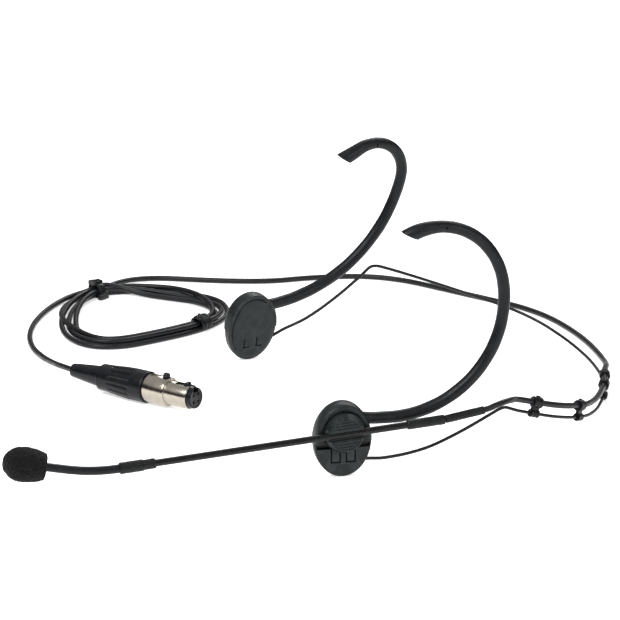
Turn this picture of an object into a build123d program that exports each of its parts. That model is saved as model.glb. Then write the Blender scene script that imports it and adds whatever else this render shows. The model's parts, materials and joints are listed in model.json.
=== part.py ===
"""Headset microphone with temple pads, ear hooks, a wire neckband, a clamped boom and a trailing cable.

Millimetres. The wearer faces -Y, +Z is up and +X is the side that carries the boom.
The origin is on the ground, under the middle of the headset without its free cable.
"""

import os
from math import cos, radians, sin, tan

from build123d import *

# Headset: where the two temple pads sit
PAD_SPAN = 130.0
PAD_Y = -1.6
SIDES = ("near", "far")
OUTWARD = {"near": 1, "far": -1}
PAD_YAW = {"near": 0.0, "far": 16.0}
PAD_TILT = {"near": 0.0, "far": 10.0}

# Temple pad, in its own plane: x along the pad, y up, z outwards from the face on the temple
PAD_WIDTH = 19.2
PAD_HEIGHT = 25.0
PLATE_THICKNESS = 1.0
PLATE_INSET = 1.8
PLATE_EDGE = 0.35
FLOOR_UNDER = 3.8
FLOOR_TOP = 4.6
RIM_TOP = 5.9
RIM_ROUND = 1.7
RIM_INNER_ROUND = 0.5
SHELL_WALL = 1.3
SEAM_HEIGHT = -1.5
SEAM_GAP = 0.1
MID_DEPTH = 3.0

# Lower clamp, the crescent that holds the neckband wire
CLAMP_TOP = 4.3
CLAMP_STEP = 2.4
CLAMP_STEP_HEIGHT = -3.6
CLAMP_EDGE = 0.8
TAB_OFFSET = 2.5
TAB_WIDTH = 2.4
TAB_BOTTOM = -7.9
TAB_SLOT = 0.4
TAB_SLOT_DEPTH = 0.5

# Knob that clamps the boom
KNOB_RADIUS = 6.7
KNOB_HEIGHT = 3.1
KNOB_GAP = 0.1
KNOB_TOP = 9.0
KNOB_BEVEL = 0.9
KNOB_RECESS_GAP = 0.4
BOSS_RADIUS = 2.0
BOSS_BOTTOM = 2.6
BOSS_CLEARANCE = 0.06
RIB_OFFSETS = (2.3, 3.3, 4.3)
RIB_WIDTH = 0.5
RIB_DEPTH = 0.35
GROOVE_DEPTH = 7.7
GROOVE_MOUTH = 2.0
SCREW_RADIUS = 0.8
SCREW_LENGTH = 4.2
SCREW_HEAD_RADIUS = 2.6
SCREW_HEAD = 1.2
SCREW_SLOT = 0.5
SCREW_SLOT_SHARE = 0.7
WASHER_RADIUS = 3.0
WASHER_THICKNESS = 0.9

# Pivots inside each pad, for the ear hook and for the neckband wire
PIVOT_DEPTH = 2.75
PIVOT_THICKNESS = 2.0
PIVOT_CLEARANCE = 0.06
HOOK_PIVOT = (4.2, 6.9)
HOOK_DISC_RADIUS = 1.7
HOOK_POST_RADIUS = 0.6
WIRE_PIVOT = (5.3, -7.3)
WIRE_DISC_RADIUS = 1.2
WIRE_POST_RADIUS = 0.4
WIRE_ANGLE = {"near": 0.0, "far": 22.0}
WIRE_MOUTH_SWING = 13.0
HOOK_MOUTH_SWING = 8.5
MOUTH_GAP = 0.15
WIRE_MOUTH_GAP = 0.3

# Ear hook: a steel core in a soft tube, bent as a chain of arcs of (length, turn)
HOOK_CORE_RADIUS = 0.7
HOOK_TUBE_RADIUS = 2.0
HOOK_CORE_START = 1.02
HOOK_TUBE_START = 2.7
HOOK_ROOT = 1.5
HOOK_CORE_END = 6.0
HOOK_START_ANGLE = {"near": -6.3, "far": 3.1}
HOOK_BENDS = {
    "near": ((11.0, 10.6), (60.7, 93.4), (16.0, 37.3), (26.2, 71.2)),
    "far": ((25.0, 26.4), (44.4, 51.8), (28.0, 126.2), (5.8, -14.5)),
}
HOOK_TIP_CUT = 35.0

# Boom
BOOM_RISE = 4.2
ROD_RADIUS = 1.15
GROOVE_CLEARANCE = 0.06
ROD_FRONT = -69.0
ROD_REAR = 31.0
FRONT_SLEEVE = (-74.4, -66.5, -62.6)
REAR_SLEEVE = (20.3, 33.0, 46.0)
SLEEVE_WALL = 0.45
UNDER_SLEEVE_WALL = 0.27
CABLE_SLEEVE_WALL = 0.35
CABLE_SLEEVE_RISE = 9.4
NECK_RADIUS = 1.4
NECK_LENGTH = 25.3
NECK_BEND = 17.0
NECK_TURN = 16.0
NECK_GAP = 0.1
NECK_CORE_RADIUS = 0.6
NECK_JOINTS = (0.35, 0.8)

# Microphone head
CAPSULE_RADIUS = 2.6
CAPSULE_LENGTH = 9.0
CAPSULE_WALL = 0.3
CAPSULE_STEP = 1.6
ELEMENT_LENGTH = 3.0
ELEMENT_RECESS = 0.4
FOAM_RADIUS = 5.7
FOAM_LENGTH = 13.4
FOAM_BACK = 1.0
FOAM_BACK_RADIUS = 4.2

# Cable and neckband wire
CABLE_RADIUS = 1.0
WIRE_RADIUS = 0.55
CLIP_SPACING = 4.0
CLIP_WALL = 0.75
CLIP_LENGTH = 3.4
CLIP_WEB = 1.5
CLIP_CLEARANCE = 0.04
NEAR_ARM = [
    (64.7, 11.4, 4.8),
    (64.0, 19.4, 5.2),
    (63.2, 28.4, 6.8),
    (62.2, 38.9, 10.8),
    (61.4, 46.9, 14.5),
    (60.8, 52.2, 17.0),
    (60.2, 54.4, 17.4),
]
NECKBAND = [
    (58.9, 58.9, 15.4),
    (55.2, 71.6, 11.2),
    (49.6, 80.0, 8.3),
    (40.0, 89.4, 5.0),
    (28.5, 96.6, 3.2),
    (16.0, 102.6, 2.3),
    (6.0, 106.9, 1.8),
    (-6.0, 110.4, 1.5),
    (-18.0, 112.4, 1.5),
    (-31.0, 112.7, 2.4),
    (-44.5, 109.4, 5.0),
    (-57.0, 102.4, 9.0),
    (-65.0, 91.4, 13.4),
    (-66.6, 77.4, 18.6),
    (-65.4, 63.4, 24.4),
    (-63.0, 51.4, 29.4),
    (-61.0, 43.9, 32.4),
]
FAR_ARM = [
    (-60.2, 41.0, 32.6),
    (-60.7, 38.0, 29.4),
    (-62.3, 31.0, 22.9),
    (-64.0, 24.4, 17.4),
    (-65.5, 18.2, 13.0),
    (-67.5, 11.0, 9.5),
]
CLIPPED_TO = 7
CLIP_RUNS = (0, 2, 5, 6)

# The lead from the boom to the first clip
LEAD = [
    (69.4, 48.2, 21.2),
    (68.0, 51.6, 21.7),
    (65.4, 54.8, 21.3),
]
# The free cable from the last clip to the coil, along the ground
TRAILING = [
    (-12.0, 113.2, 5.0),
    (-20.0, 115.8, 3.2),
    (-30.0, 118.2, 1.4),
    (-42.0, 119.4, 1.05),
    (-56.0, 119.6, 1.05),
    (-72.0, 118.2, 1.05),
    (-88.0, 115.0, 1.05),
    (-102.0, 108.8, 1.05),
    (-115.0, 99.4, 1.05),
    (-131.0, 87.8, 1.05),
    (-146.0, 76.8, 1.05),
    (-155.0, 63.4, 1.05),
    (-157.4, 44.0, 1.05),
    (-156.0, 28.0, 1.05),
    (-160.4, 12.0, 1.05),
    (-166.4, -2.0, 1.05),
    (-171.0, -12.6, 1.05),
    (-170.6, -23.0, 1.3),
    (-163.6, -32.0, 1.9),
    (-157.4, -37.6, 2.1),
]
# The coil's middle line, a closed rounded outline on the ground
COIL = [
    (-157.1, -35.1),
    (-153.5, -42.6),
    (-141.5, -50.9),
    (-123.1, -56.8),
    (-105.3, -57.8),
    (-92.7, -53.0),
    (-89.3, -43.3),
    (-93.5, -30.9),
    (-100.4, -15.4),
    (-108.2, -5.2),
    (-119.2, 0.7),
    (-134.4, 0.9),
    (-148.4, -8.2),
    (-156.4, -21.5),
]
COIL_HALF_WIDTH = 3.2
COIL_HALF_HEIGHT = 2.2
COIL_TURNS = 4
# From the coil to the connector
CONNECTOR_LEAD = [
    (-154.6, -42.4, 2.6),
    (-152.6, -49.6, 1.7),
    (-145.3, -57.0, 1.05),
    (-134.0, -63.8, 1.05),
    (-121.8, -69.2, 1.05),
    (-108.4, -73.0, 1.05),
    (-94.6, -74.4, 1.05),
    (-81.4, -73.2, 1.5),
    (-69.2, -71.8, 3.0),
    (-58.6, -70.6, 4.8),
]
TIE_LENGTH = 4.6
TIE_WALL = 0.8
TIE_LIFT = 0.16

# Connector, along its own axis from the cable end
CONNECTOR_START = (-50.9, -67.8, 5.5)
CONNECTOR_HEADING = (0.77, 0.638, 0.0)
BOOT_LENGTH = 13.31
BOOT_RADII = (2.4, 3.7)
BOOT_EDGE = 0.4
GRIP_RADII = (4.6, 5.5)
GRIP_END = 33.92
GRIP_WALL = 0.9
GRIP_EDGE = 0.3
FLUTES = 12
FLUTE_START, FLUTE_END = 18.25, 28.45
FLUTE_RADIUS = 0.55
RING_RADIUS = 5.05
RING_END = 43.15
RING_EDGE = 0.4
NOSE_RADIUS = 4.2
NOSE_END = 52.17
NOSE_EDGE = 0.3
SHELL_INNER = 3.7
INSERT_END = 54.1
INSERT_START = 38.64
INSERT_FLOOR = 1.0
CONTACT_WALL = 0.2
CONTACT_RECESS = 0.6
PIN_HOLE_RADIUS = 0.55
PIN_CIRCLE = 1.75
PIN_COUNT = 4
COLLET_START = 15.03
COLLET_SHELL_GAP = 6.0
SHELL_START = 34.03
LATCH_WIDTH = 2.2
LATCH_THICKNESS = 0.8
LATCH_LEVEL = 2.8
LATCH_START = 37.14
LATCH_PIVOT = 38.21
LATCH_TRAVEL = 3.5
LATCH_BUTTON = 41.43
LATCH_BUTTON_RADIUS = 1.15
LATCH_BUTTON_TOP = 6.7
LATCH_HOOK = 50.24
LATCH_HOOK_TOP = 5.0
LATCH_END = 53.03
LATCH_GAP = 0.25
LATCH_PIN_RADIUS = 0.24
LATCH_PIN_CLEARANCE = 0.04
LATCH_PIN_END_GAP = 0.02
LATCH_HOOK_RAMP = 1.2
LATCH_HOOK_LENGTH = 0.7
LATCH_SLOT_START = 45.94
LATCH_SLOT_ROOF = 0.35

# Everything above is a driving size or a chosen route; everything below follows from it.

os.makedirs("parts", exist_ok=True)


def save(piece, name):
    piece.label = name
    export_step(piece, f"parts/{name}.step")


def seat_plane(side):
    """The plane of a pad's inner face, x along the pad, y up and z outwards."""
    yaw, tilt = radians(PAD_YAW[side]), radians(PAD_TILT[side])
    out = Vector(OUTWARD[side] * cos(yaw) * cos(tilt), -sin(yaw) * cos(tilt), sin(tilt))
    ground_drop = PLATE_THICKNESS * sin(tilt)
    middle = Vector(OUTWARD[side] * PAD_SPAN / 2, PAD_Y, 0) - out * MID_DEPTH
    height = PAD_HEIGHT / 2 * cos(tilt) - ground_drop
    return Plane(
        origin=(middle.X, middle.Y, height),
        x_dir=Vector(0, 0, 1).cross(out),
        z_dir=out,
    )


SEAT = {side: seat_plane(side) for side in SIDES}


def level(side, depth):
    """The pad's plane moved outwards by depth."""
    return SEAT[side].offset(depth)


def backward(side, x):
    """A length towards the back of the head, as x in the side's own plane."""
    return OUTWARD[side] * x


def on_pad(side, x, y, depth):
    return SEAT[side].from_local_coords(Vector(backward(side, x), y, depth))


def backward_angle(side, angle):
    """An angle up from the backward direction, as an angle in the side's own plane."""
    return angle if OUTWARD[side] > 0 else 180 - angle


def corner_radii(points):
    """The largest arc that each corner's two runs allow."""
    radii = []
    for before, corner, after in zip(points, points[1:], points[2:]):
        run_in = Vector(corner) - Vector(before)
        run_out = Vector(after) - Vector(corner)
        half_turn = radians(run_in.get_angle(run_out)) / 2
        radii.append(0.45 * min(run_in.length, run_out.length) / tan(half_turn))
    return radii


def tube(points, radius, name):
    """A round tube along straight runs joined by tangent arcs, checked by its volume."""
    radii = corner_radii(points)
    with BuildPart() as swept:
        with BuildLine() as path:
            FilletPolyline(*points, radius=radii)
        with BuildSketch(Plane(origin=path.wires()[0] @ 0, z_dir=path.wires()[0] % 0)):
            Circle(radius)
        sweep(path=path.wires()[0])
    length = path.wires()[0].length
    share = swept.part.volume / (Circle(radius, mode=Mode.PRIVATE).area * length)
    print(name, "length", round(length, 1), "tightest", round(min(radii), 1), "share", round(share, 3))
    return swept.part


# ---------------------------------------------------------------- temple pads


def mouth_sketch(side, pivot, angle, swing, radius, reach):
    """The flared opening that lets a rod of this radius swing about its pivot."""
    for turn in (-swing, 0, swing):
        with Locations((backward(side, pivot[0]), pivot[1])):
            with Locations(Rotation(0, 0, backward_angle(side, angle + turn))):
                Rectangle(reach, 2 * (radius + MOUTH_GAP), align=(Align.MIN, Align.CENTER))


def make_inner_plate(side):
    with BuildPart() as plate:
        with BuildSketch(level(side, 0)):
            Ellipse(PAD_WIDTH / 2 - PLATE_INSET, PAD_HEIGHT / 2 - PLATE_INSET)
        extrude(amount=PLATE_THICKNESS)
        inner = plate.faces().sort_by(lambda f: level(side, 0).to_local_coords(f.center()).Z)[0]
        chamfer(inner.edges(), PLATE_EDGE)
        with BuildSketch(level(side, 0)):
            for direction in (-1, 1):
                with Locations((direction * (TAB_OFFSET - TAB_WIDTH / 2), TAB_BOTTOM + TAB_WIDTH / 2)):
                    Rectangle(TAB_SLOT, TAB_WIDTH)
                with Locations((direction * TAB_OFFSET, TAB_BOTTOM)):
                    Rectangle(TAB_WIDTH, TAB_SLOT)
        extrude(amount=TAB_SLOT_DEPTH, mode=Mode.SUBTRACT)
    return plate.part


def make_upper_shell(side):
    with BuildPart() as shell:
        with BuildSketch(level(side, PLATE_THICKNESS)):
            Ellipse(PAD_WIDTH / 2, PAD_HEIGHT / 2)
        extrude(amount=RIM_TOP - PLATE_THICKNESS)
        outer = shell.faces().sort_by(lambda f: level(side, 0).to_local_coords(f.center()).Z)[-1]
        fillet(outer.edges(), RIM_ROUND)
        with BuildSketch(level(side, FLOOR_TOP)):
            with Locations((0, KNOB_HEIGHT)):
                Circle(KNOB_RADIUS + KNOB_RECESS_GAP)
        extrude(amount=RIM_TOP - FLOOR_TOP, mode=Mode.SUBTRACT)
        with BuildSketch(level(side, PLATE_THICKNESS)):
            Ellipse(PAD_WIDTH / 2 - SHELL_WALL, PAD_HEIGHT / 2 - SHELL_WALL)
        extrude(amount=FLOOR_UNDER - PLATE_THICKNESS, mode=Mode.SUBTRACT)
        with BuildSketch(level(side, FLOOR_UNDER)):
            with Locations((0, KNOB_HEIGHT)):
                Circle(BOSS_RADIUS + BOSS_CLEARANCE)
        extrude(amount=FLOOR_TOP - FLOOR_UNDER, mode=Mode.SUBTRACT)
        with BuildSketch(level(side, PLATE_THICKNESS)):
            with Locations((backward(side, HOOK_PIVOT[0]), HOOK_PIVOT[1])):
                Circle(HOOK_POST_RADIUS)
        extrude(amount=FLOOR_UNDER - PLATE_THICKNESS)
        with BuildSketch(level(side, PLATE_THICKNESS)):
            mouth_sketch(side, HOOK_PIVOT, HOOK_START_ANGLE[side], HOOK_MOUTH_SWING, HOOK_TUBE_RADIUS, PAD_WIDTH)
            with Locations((backward(side, HOOK_PIVOT[0]), HOOK_PIVOT[1])):
                Circle(HOOK_DISC_RADIUS + MOUTH_GAP, mode=Mode.SUBTRACT)
            with Locations((backward(side, -PAD_WIDTH / 2), 0)):
                Rectangle(PAD_WIDTH + 2 * HOOK_PIVOT[0], PAD_HEIGHT, mode=Mode.SUBTRACT)
        extrude(
            amount=PIVOT_DEPTH + HOOK_TUBE_RADIUS + MOUTH_GAP - PLATE_THICKNESS,
            mode=Mode.SUBTRACT,
        )
        seam = Plane(origin=on_pad(side, 0, SEAM_HEIGHT, 0), z_dir=SEAT[side].y_dir)
        split(bisect_by=seam, keep=Keep.TOP)
    return shell.part


def make_lower_clamp(side):
    with BuildPart() as clamp:
        with BuildSketch(level(side, PLATE_THICKNESS)):
            Ellipse(PAD_WIDTH / 2, PAD_HEIGHT / 2)
        extrude(amount=CLAMP_TOP - PLATE_THICKNESS)
        outer = clamp.faces().sort_by(lambda f: level(side, 0).to_local_coords(f.center()).Z)[-1]
        fillet(outer.edges(), CLAMP_EDGE)
        seam = Plane(origin=on_pad(side, 0, SEAM_HEIGHT - SEAM_GAP, 0), z_dir=SEAT[side].y_dir)
        split(bisect_by=seam, keep=Keep.BOTTOM)
        with BuildSketch(level(side, CLAMP_STEP)):
            with Locations((0, CLAMP_STEP_HEIGHT)):
                Rectangle(PAD_WIDTH, PAD_HEIGHT / 2, align=(Align.CENTER, Align.MIN))
        extrude(amount=CLAMP_TOP - CLAMP_STEP, mode=Mode.SUBTRACT)
        with BuildSketch(level(side, CLAMP_TOP)):
            for direction in (-1, 1):
                with Locations((direction * TAB_OFFSET, TAB_BOTTOM)):
                    Rectangle(TAB_WIDTH + 2 * TAB_SLOT, TAB_SLOT)
                for edge in (-1, 1):
                    with Locations(
                        (direction * TAB_OFFSET + edge * (TAB_WIDTH + TAB_SLOT) / 2, TAB_BOTTOM)
                    ):
                        Rectangle(
                            TAB_SLOT,
                            CLAMP_STEP_HEIGHT - TAB_BOTTOM,
                            align=(Align.CENTER, Align.MIN),
                        )
        extrude(amount=-TAB_SLOT_DEPTH, mode=Mode.SUBTRACT)
        pocket_top = PIVOT_DEPTH + PIVOT_THICKNESS / 2 + PIVOT_CLEARANCE
        with BuildSketch(level(side, PLATE_THICKNESS)):
            with Locations((backward(side, WIRE_PIVOT[0]), WIRE_PIVOT[1])):
                Circle(WIRE_DISC_RADIUS + PIVOT_CLEARANCE)
                Circle(WIRE_POST_RADIUS, mode=Mode.SUBTRACT)
        extrude(amount=pocket_top - PLATE_THICKNESS, mode=Mode.SUBTRACT)
        with BuildSketch(level(side, PIVOT_DEPTH - WIRE_RADIUS - WIRE_MOUTH_GAP)):
            mouth_sketch(side, WIRE_PIVOT, WIRE_ANGLE[side], WIRE_MOUTH_SWING, WIRE_RADIUS, PAD_WIDTH)
            with Locations((backward(side, WIRE_PIVOT[0]), WIRE_PIVOT[1])):
                Circle(WIRE_DISC_RADIUS, mode=Mode.SUBTRACT)
        extrude(amount=2 * (WIRE_RADIUS + WIRE_MOUTH_GAP), mode=Mode.SUBTRACT)
    return clamp.part


def groove_length():
    """The groove's length across the knob at the level of the rod's middle."""
    return 2 * KNOB_RADIUS


def make_knob(side, turn):
    """turn is the groove's angle in the side's own plane."""
    face = level(side, 0)
    with BuildPart() as knob:
        with BuildSketch(level(side, FLOOR_TOP + KNOB_GAP)):
            with Locations((0, KNOB_HEIGHT)):
                Circle(KNOB_RADIUS)
        extrude(amount=KNOB_TOP - FLOOR_TOP - KNOB_GAP)
        outer = knob.faces().sort_by(lambda f: face.to_local_coords(f.center()).Z)[-1]
        chamfer(outer.edges(), KNOB_BEVEL)
        with BuildSketch(level(side, BOSS_BOTTOM)):
            with Locations((0, KNOB_HEIGHT)):
                Circle(BOSS_RADIUS)
        extrude(amount=FLOOR_TOP + KNOB_GAP - BOSS_BOTTOM)
        with BuildSketch(level(side, KNOB_TOP)):
            with Locations((0, KNOB_HEIGHT)):
                with Locations(Rotation(0, 0, turn)):
                    for offset_y in RIB_OFFSETS:
                        for direction in (-1, 1):
                            half = (KNOB_RADIUS - KNOB_BEVEL) ** 2 - offset_y**2
                            with Locations((0, direction * offset_y)):
                                Rectangle(2 * half**0.5 - RIB_WIDTH, RIB_WIDTH)
        extrude(amount=-RIB_DEPTH, mode=Mode.SUBTRACT)
        with BuildSketch(level(side, BOSS_BOTTOM)):
            with Locations((0, KNOB_HEIGHT)):
                Circle(SCREW_RADIUS)
        extrude(amount=SCREW_LENGTH - SCREW_HEAD + KNOB_GAP, mode=Mode.SUBTRACT)
        along = face.location * Location((0, KNOB_HEIGHT, 0)) * Rotation(0, 0, turn)
        section = Plane(along * Location((-PAD_WIDTH / 2, 0, 0)) * Rotation(90, 90, 0))
        with BuildSketch(section):
            with Locations((0, GROOVE_DEPTH)):
                Circle(ROD_RADIUS + GROOVE_CLEARANCE)
                Rectangle(GROOVE_MOUTH, KNOB_TOP, align=(Align.CENTER, Align.MIN))
        extrude(amount=PAD_WIDTH, mode=Mode.SUBTRACT)
    return knob.part


def make_knob_screw(side):
    slot_length = 2 * SCREW_HEAD_RADIUS * SCREW_SLOT_SHARE
    with BuildPart() as screw:
        with BuildSketch(level(side, BOSS_BOTTOM - SCREW_HEAD)):
            with Locations((0, KNOB_HEIGHT)):
                Circle(SCREW_HEAD_RADIUS)
        extrude(amount=SCREW_HEAD)
        with BuildSketch(level(side, BOSS_BOTTOM)):
            with Locations((0, KNOB_HEIGHT)):
                Circle(SCREW_RADIUS)
        extrude(amount=SCREW_LENGTH - SCREW_HEAD)
        with BuildSketch(level(side, BOSS_BOTTOM - SCREW_HEAD)):
            with Locations((0, KNOB_HEIGHT)):
                Rectangle(slot_length, SCREW_SLOT)
                Rectangle(SCREW_SLOT, slot_length)
        extrude(amount=SCREW_HEAD / 2, mode=Mode.SUBTRACT)
    return screw.part


def make_spring_washer(side):
    with BuildPart() as washer:
        with BuildSketch(level(side, FLOOR_UNDER - WASHER_THICKNESS - KNOB_GAP / 2)):
            with Locations((0, KNOB_HEIGHT)):
                Circle(WASHER_RADIUS)
                Circle(BOSS_RADIUS + BOSS_CLEARANCE, mode=Mode.SUBTRACT)
        extrude(amount=WASHER_THICKNESS)
    return washer.part


# ------------------------------------------------------------------ ear hooks


def hook_line(side):
    """Where the hook's straight root starts and ends, and where its tube starts on it."""
    angle = HOOK_START_ANGLE[side]
    core_start, tube_start, knee = (
        polar(HOOK_PIVOT, distance, angle)
        for distance in (HOOK_CORE_START, HOOK_TUBE_START, HOOK_TUBE_START + HOOK_ROOT)
    )
    return core_start, tube_start, knee


def polar(point, distance, angle):
    return (
        point[0] + distance * cos(radians(angle)),
        point[1] + distance * sin(radians(angle)),
    )


def mirrored(side, point):
    return (backward(side, point[0]), point[1])


def bend_chain(side, first_point, bends):
    """Tangent arcs of (length, turn) from the hook's root, added to the open BuildLine."""
    at = mirrored(side, first_point)
    heading = backward_angle(side, HOOK_START_ANGLE[side])
    for length, turn in bends:
        turn = OUTWARD[side] * turn
        radius = length / abs(radians(turn))
        tangent = (cos(radians(heading)), sin(radians(heading)))
        arc = JernArc(start=at, tangent=tangent, radius=radius, arc_size=turn)
        at = arc @ 1
        heading += turn


def make_hook_tube(side):
    tube_start, knee = hook_line(side)[1:]
    with BuildPart() as sleeve:
        with BuildLine(level(side, PIVOT_DEPTH)) as path:
            Line(mirrored(side, tube_start), mirrored(side, knee))
            bend_chain(side, knee, HOOK_BENDS[side])
        wire = path.wires()[0]
        with BuildSketch(Plane(origin=wire @ 0, z_dir=wire % 0)):
            Circle(HOOK_TUBE_RADIUS)
        sweep(path=wire)
        tip = Plane(origin=wire @ 1, x_dir=SEAT[side].z_dir, z_dir=wire % 1)
        slant = tip.rotated((OUTWARD[side] * HOOK_TIP_CUT, 0, 0))
        with BuildSketch(slant):
            Circle(3 * HOOK_TUBE_RADIUS)
        extrude(amount=3 * HOOK_TUBE_RADIUS, mode=Mode.SUBTRACT)
    with BuildPart() as hollow:
        add(sleeve.part)
        add(make_hook_core(side), mode=Mode.SUBTRACT)
    return hollow.part


def make_hook_core(side):
    """The steel core, from inside the pivot disc to short of the tube's tip."""
    core_start, _, knee = hook_line(side)
    bends = list(HOOK_BENDS[side])
    last_length, last_turn = bends[-1]
    if last_length > 2 * HOOK_CORE_END:
        bends[-1] = (last_length - HOOK_CORE_END, last_turn * (1 - HOOK_CORE_END / last_length))
    else:
        bends = bends[:-1]
    with BuildPart() as core:
        with BuildLine(level(side, PIVOT_DEPTH)) as path:
            Line(mirrored(side, core_start), mirrored(side, knee))
            bend_chain(side, knee, bends)
        wire = path.wires()[0]
        with BuildSketch(Plane(origin=wire @ 0, z_dir=wire % 0)):
            Circle(HOOK_CORE_RADIUS)
        sweep(path=wire)
    return core.part


def make_pivot_disc(side, pivot, radius, post_radius, rod):
    """A flat disc on the pad's post, bored for the rod that it carries."""
    with BuildPart() as disc:
        with BuildSketch(level(side, PIVOT_DEPTH - PIVOT_THICKNESS / 2)):
            with Locations(mirrored(side, pivot)):
                Circle(radius)
                Circle(post_radius + PIVOT_CLEARANCE, mode=Mode.SUBTRACT)
        extrude(amount=PIVOT_THICKNESS)
        add(rod, mode=Mode.SUBTRACT)
    return disc.part


# ----------------------------------------------------------------------- boom

KNOB_CENTRE = on_pad("near", 0, KNOB_HEIGHT, GROOVE_DEPTH)
BOOM_BACK = Vector(0, cos(radians(BOOM_RISE)), sin(radians(BOOM_RISE)))


def boom_plane(distance, rise=BOOM_RISE, start=None):
    """A plane across the boom, its z axis towards the back."""
    at = KNOB_CENTRE + BOOM_BACK * distance if start is None else start
    heading = (0, cos(radians(rise)), sin(radians(rise)))
    return Plane(origin=at, x_dir=(1, 0, 0), z_dir=heading)


def make_rod(plane, radius, length):
    with BuildPart() as rod:
        with BuildSketch(plane):
            Circle(radius)
        extrude(amount=length)
    return rod.part


def make_sleeve(plane, length, outer, bore):
    with BuildPart() as sleeve:
        with BuildSketch(plane):
            Circle(outer)
            Circle(bore, mode=Mode.SUBTRACT)
        extrude(amount=length)
    return sleeve.part


NECK_REAR = ROD_FRONT - NECK_GAP
NECK_START = boom_plane(NECK_REAR)


def neck_line():
    """The neck's middle line: straight in the front sleeve, one upward bend, then straight."""
    straight = NECK_REAR - FRONT_SLEEVE[0]
    with BuildLine(Plane(origin=NECK_START.origin, x_dir=-BOOM_BACK, z_dir=(1, 0, 0))) as path:
        Line((0, 0), (straight, 0))
        bend = JernArc((straight, 0), (1, 0), NECK_BEND / radians(NECK_TURN), -NECK_TURN)
        Line(bend @ 1, bend @ 1 + (bend % 1) * (NECK_LENGTH - NECK_BEND))
    return path.wires()[0]


NECK_LINE = neck_line()
HEAD_START, HEAD_HEADING = NECK_LINE @ 1, NECK_LINE % 1
NECK_QUARTER = NECK_LINE @ NECK_JOINTS[0]
NECK_THREE_QUARTER = NECK_LINE @ NECK_JOINTS[1]


def make_neck(outer, bore=0):
    with BuildPart() as neck:
        with BuildSketch(Plane(origin=NECK_LINE @ 0, z_dir=NECK_LINE % 0)):
            Circle(outer)
            if bore:
                Circle(bore, mode=Mode.SUBTRACT)
        sweep(path=NECK_LINE)
    return neck.part


def make_windscreen(head):
    """A foam egg over the capsule, flattened at the back."""
    side_plane = Plane(origin=HEAD_START, x_dir=HEAD_HEADING, z_dir=(1, 0, 0))
    front_point = FOAM_LENGTH - FOAM_BACK
    with BuildPart() as foam:
        with BuildSketch(side_plane):
            with BuildLine():
                Line((-FOAM_BACK, 0), (-FOAM_BACK, FOAM_BACK_RADIUS))
                Spline(
                    (-FOAM_BACK, FOAM_BACK_RADIUS),
                    (front_point * 0.45, FOAM_RADIUS),
                    (front_point, 0),
                    tangents=[(0.3, 1), (0, -1)],
                )
                Line((front_point, 0), (-FOAM_BACK, 0))
            make_face()
        revolve(axis=Axis(HEAD_START, HEAD_HEADING))
        add(make_rod(head.offset(-FOAM_LENGTH), NECK_RADIUS + NECK_GAP, FOAM_LENGTH), mode=Mode.SUBTRACT)
        add(make_rod(head, CAPSULE_RADIUS, CAPSULE_LENGTH), mode=Mode.SUBTRACT)
    return foam.part


# ----------------------------------------------------------- cable and clips


def clip_plane(run):
    a, b = Vector(NECKBAND[run]), Vector(NECKBAND[run + 1])
    heading = (b - a).normalized()
    across = heading.cross(Vector(0, 0, 1)).normalized()
    middle = (a + b) / 2
    return Plane(origin=middle - heading * CLIP_LENGTH / 2, x_dir=across, z_dir=heading)


def make_clip(run):
    """A figure-of-eight clip: a ring on the wire, a web and a ring on the cable above it."""
    plane = clip_plane(run)
    rise = plane.to_local_coords(plane.origin + Vector(0, 0, CLIP_SPACING))
    with BuildPart() as clip:
        with BuildSketch(plane):
            Circle(WIRE_RADIUS + CLIP_WALL)
            with Locations((rise.X, rise.Y)):
                Circle(CABLE_RADIUS + CLIP_WALL)
            with Locations((rise.X / 2, rise.Y / 2)):
                Rectangle(CLIP_WEB, abs(rise.Y))
            Circle(WIRE_RADIUS + CLIP_CLEARANCE, mode=Mode.SUBTRACT)
            with Locations((rise.X, rise.Y)):
                Circle(CABLE_RADIUS + CLIP_CLEARANCE, mode=Mode.SUBTRACT)
        extrude(amount=CLIP_LENGTH)
    return clip.part


def make_coil():
    """The coil's outer shape: a flat oval section along the rounded outline."""
    points = [(x, y, COIL_HALF_HEIGHT) for x, y in COIL]
    ring = points + points[:2]
    radii = corner_radii(ring)
    radii = radii[-1:] + radii[:-1]
    with BuildPart() as coil:
        with BuildLine() as path:
            FilletPolyline(*points, radius=radii, close=True)
        wire = path.wires()[0]
        with BuildSketch(Plane(origin=wire @ 0, x_dir=(0, 0, 1), z_dir=wire % 0)):
            Ellipse(COIL_HALF_HEIGHT, COIL_HALF_WIDTH)
        sweep(path=wire)
    print("coil turn", round(wire.length, 1), "cable in it", round(COIL_TURNS * wire.length))
    return coil.part


def make_tie(a, b):
    """A tie round the coil's bundle at the middle of one of its runs."""
    heading = (Vector(*b) - Vector(*a)).normalized()
    middle = (Vector(*a) + Vector(*b)) / 2 - heading * TIE_LENGTH / 2
    with BuildPart() as tie:
        origin = (middle.X, middle.Y, COIL_HALF_HEIGHT + TIE_LIFT)
        with BuildSketch(Plane(origin=origin, x_dir=(0, 0, 1), z_dir=heading)):
            Ellipse(COIL_HALF_HEIGHT + TIE_LIFT, COIL_HALF_WIDTH + TIE_WALL)
            Ellipse(COIL_HALF_HEIGHT - TIE_WALL, COIL_HALF_WIDTH, mode=Mode.SUBTRACT)
        extrude(amount=TIE_LENGTH)
    return tie.part


# ------------------------------------------------------------------ connector

HEADING = Vector(*CONNECTOR_HEADING).normalized()
CONNECTOR_ORIGIN = Vector(*CONNECTOR_START)


def connector_plane(distance):
    """A plane across the connector, x up, at a distance from its cable end."""
    return Plane(
        origin=CONNECTOR_ORIGIN + HEADING * distance,
        x_dir=(0, 0, 1),
        z_dir=HEADING,
    )


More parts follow.
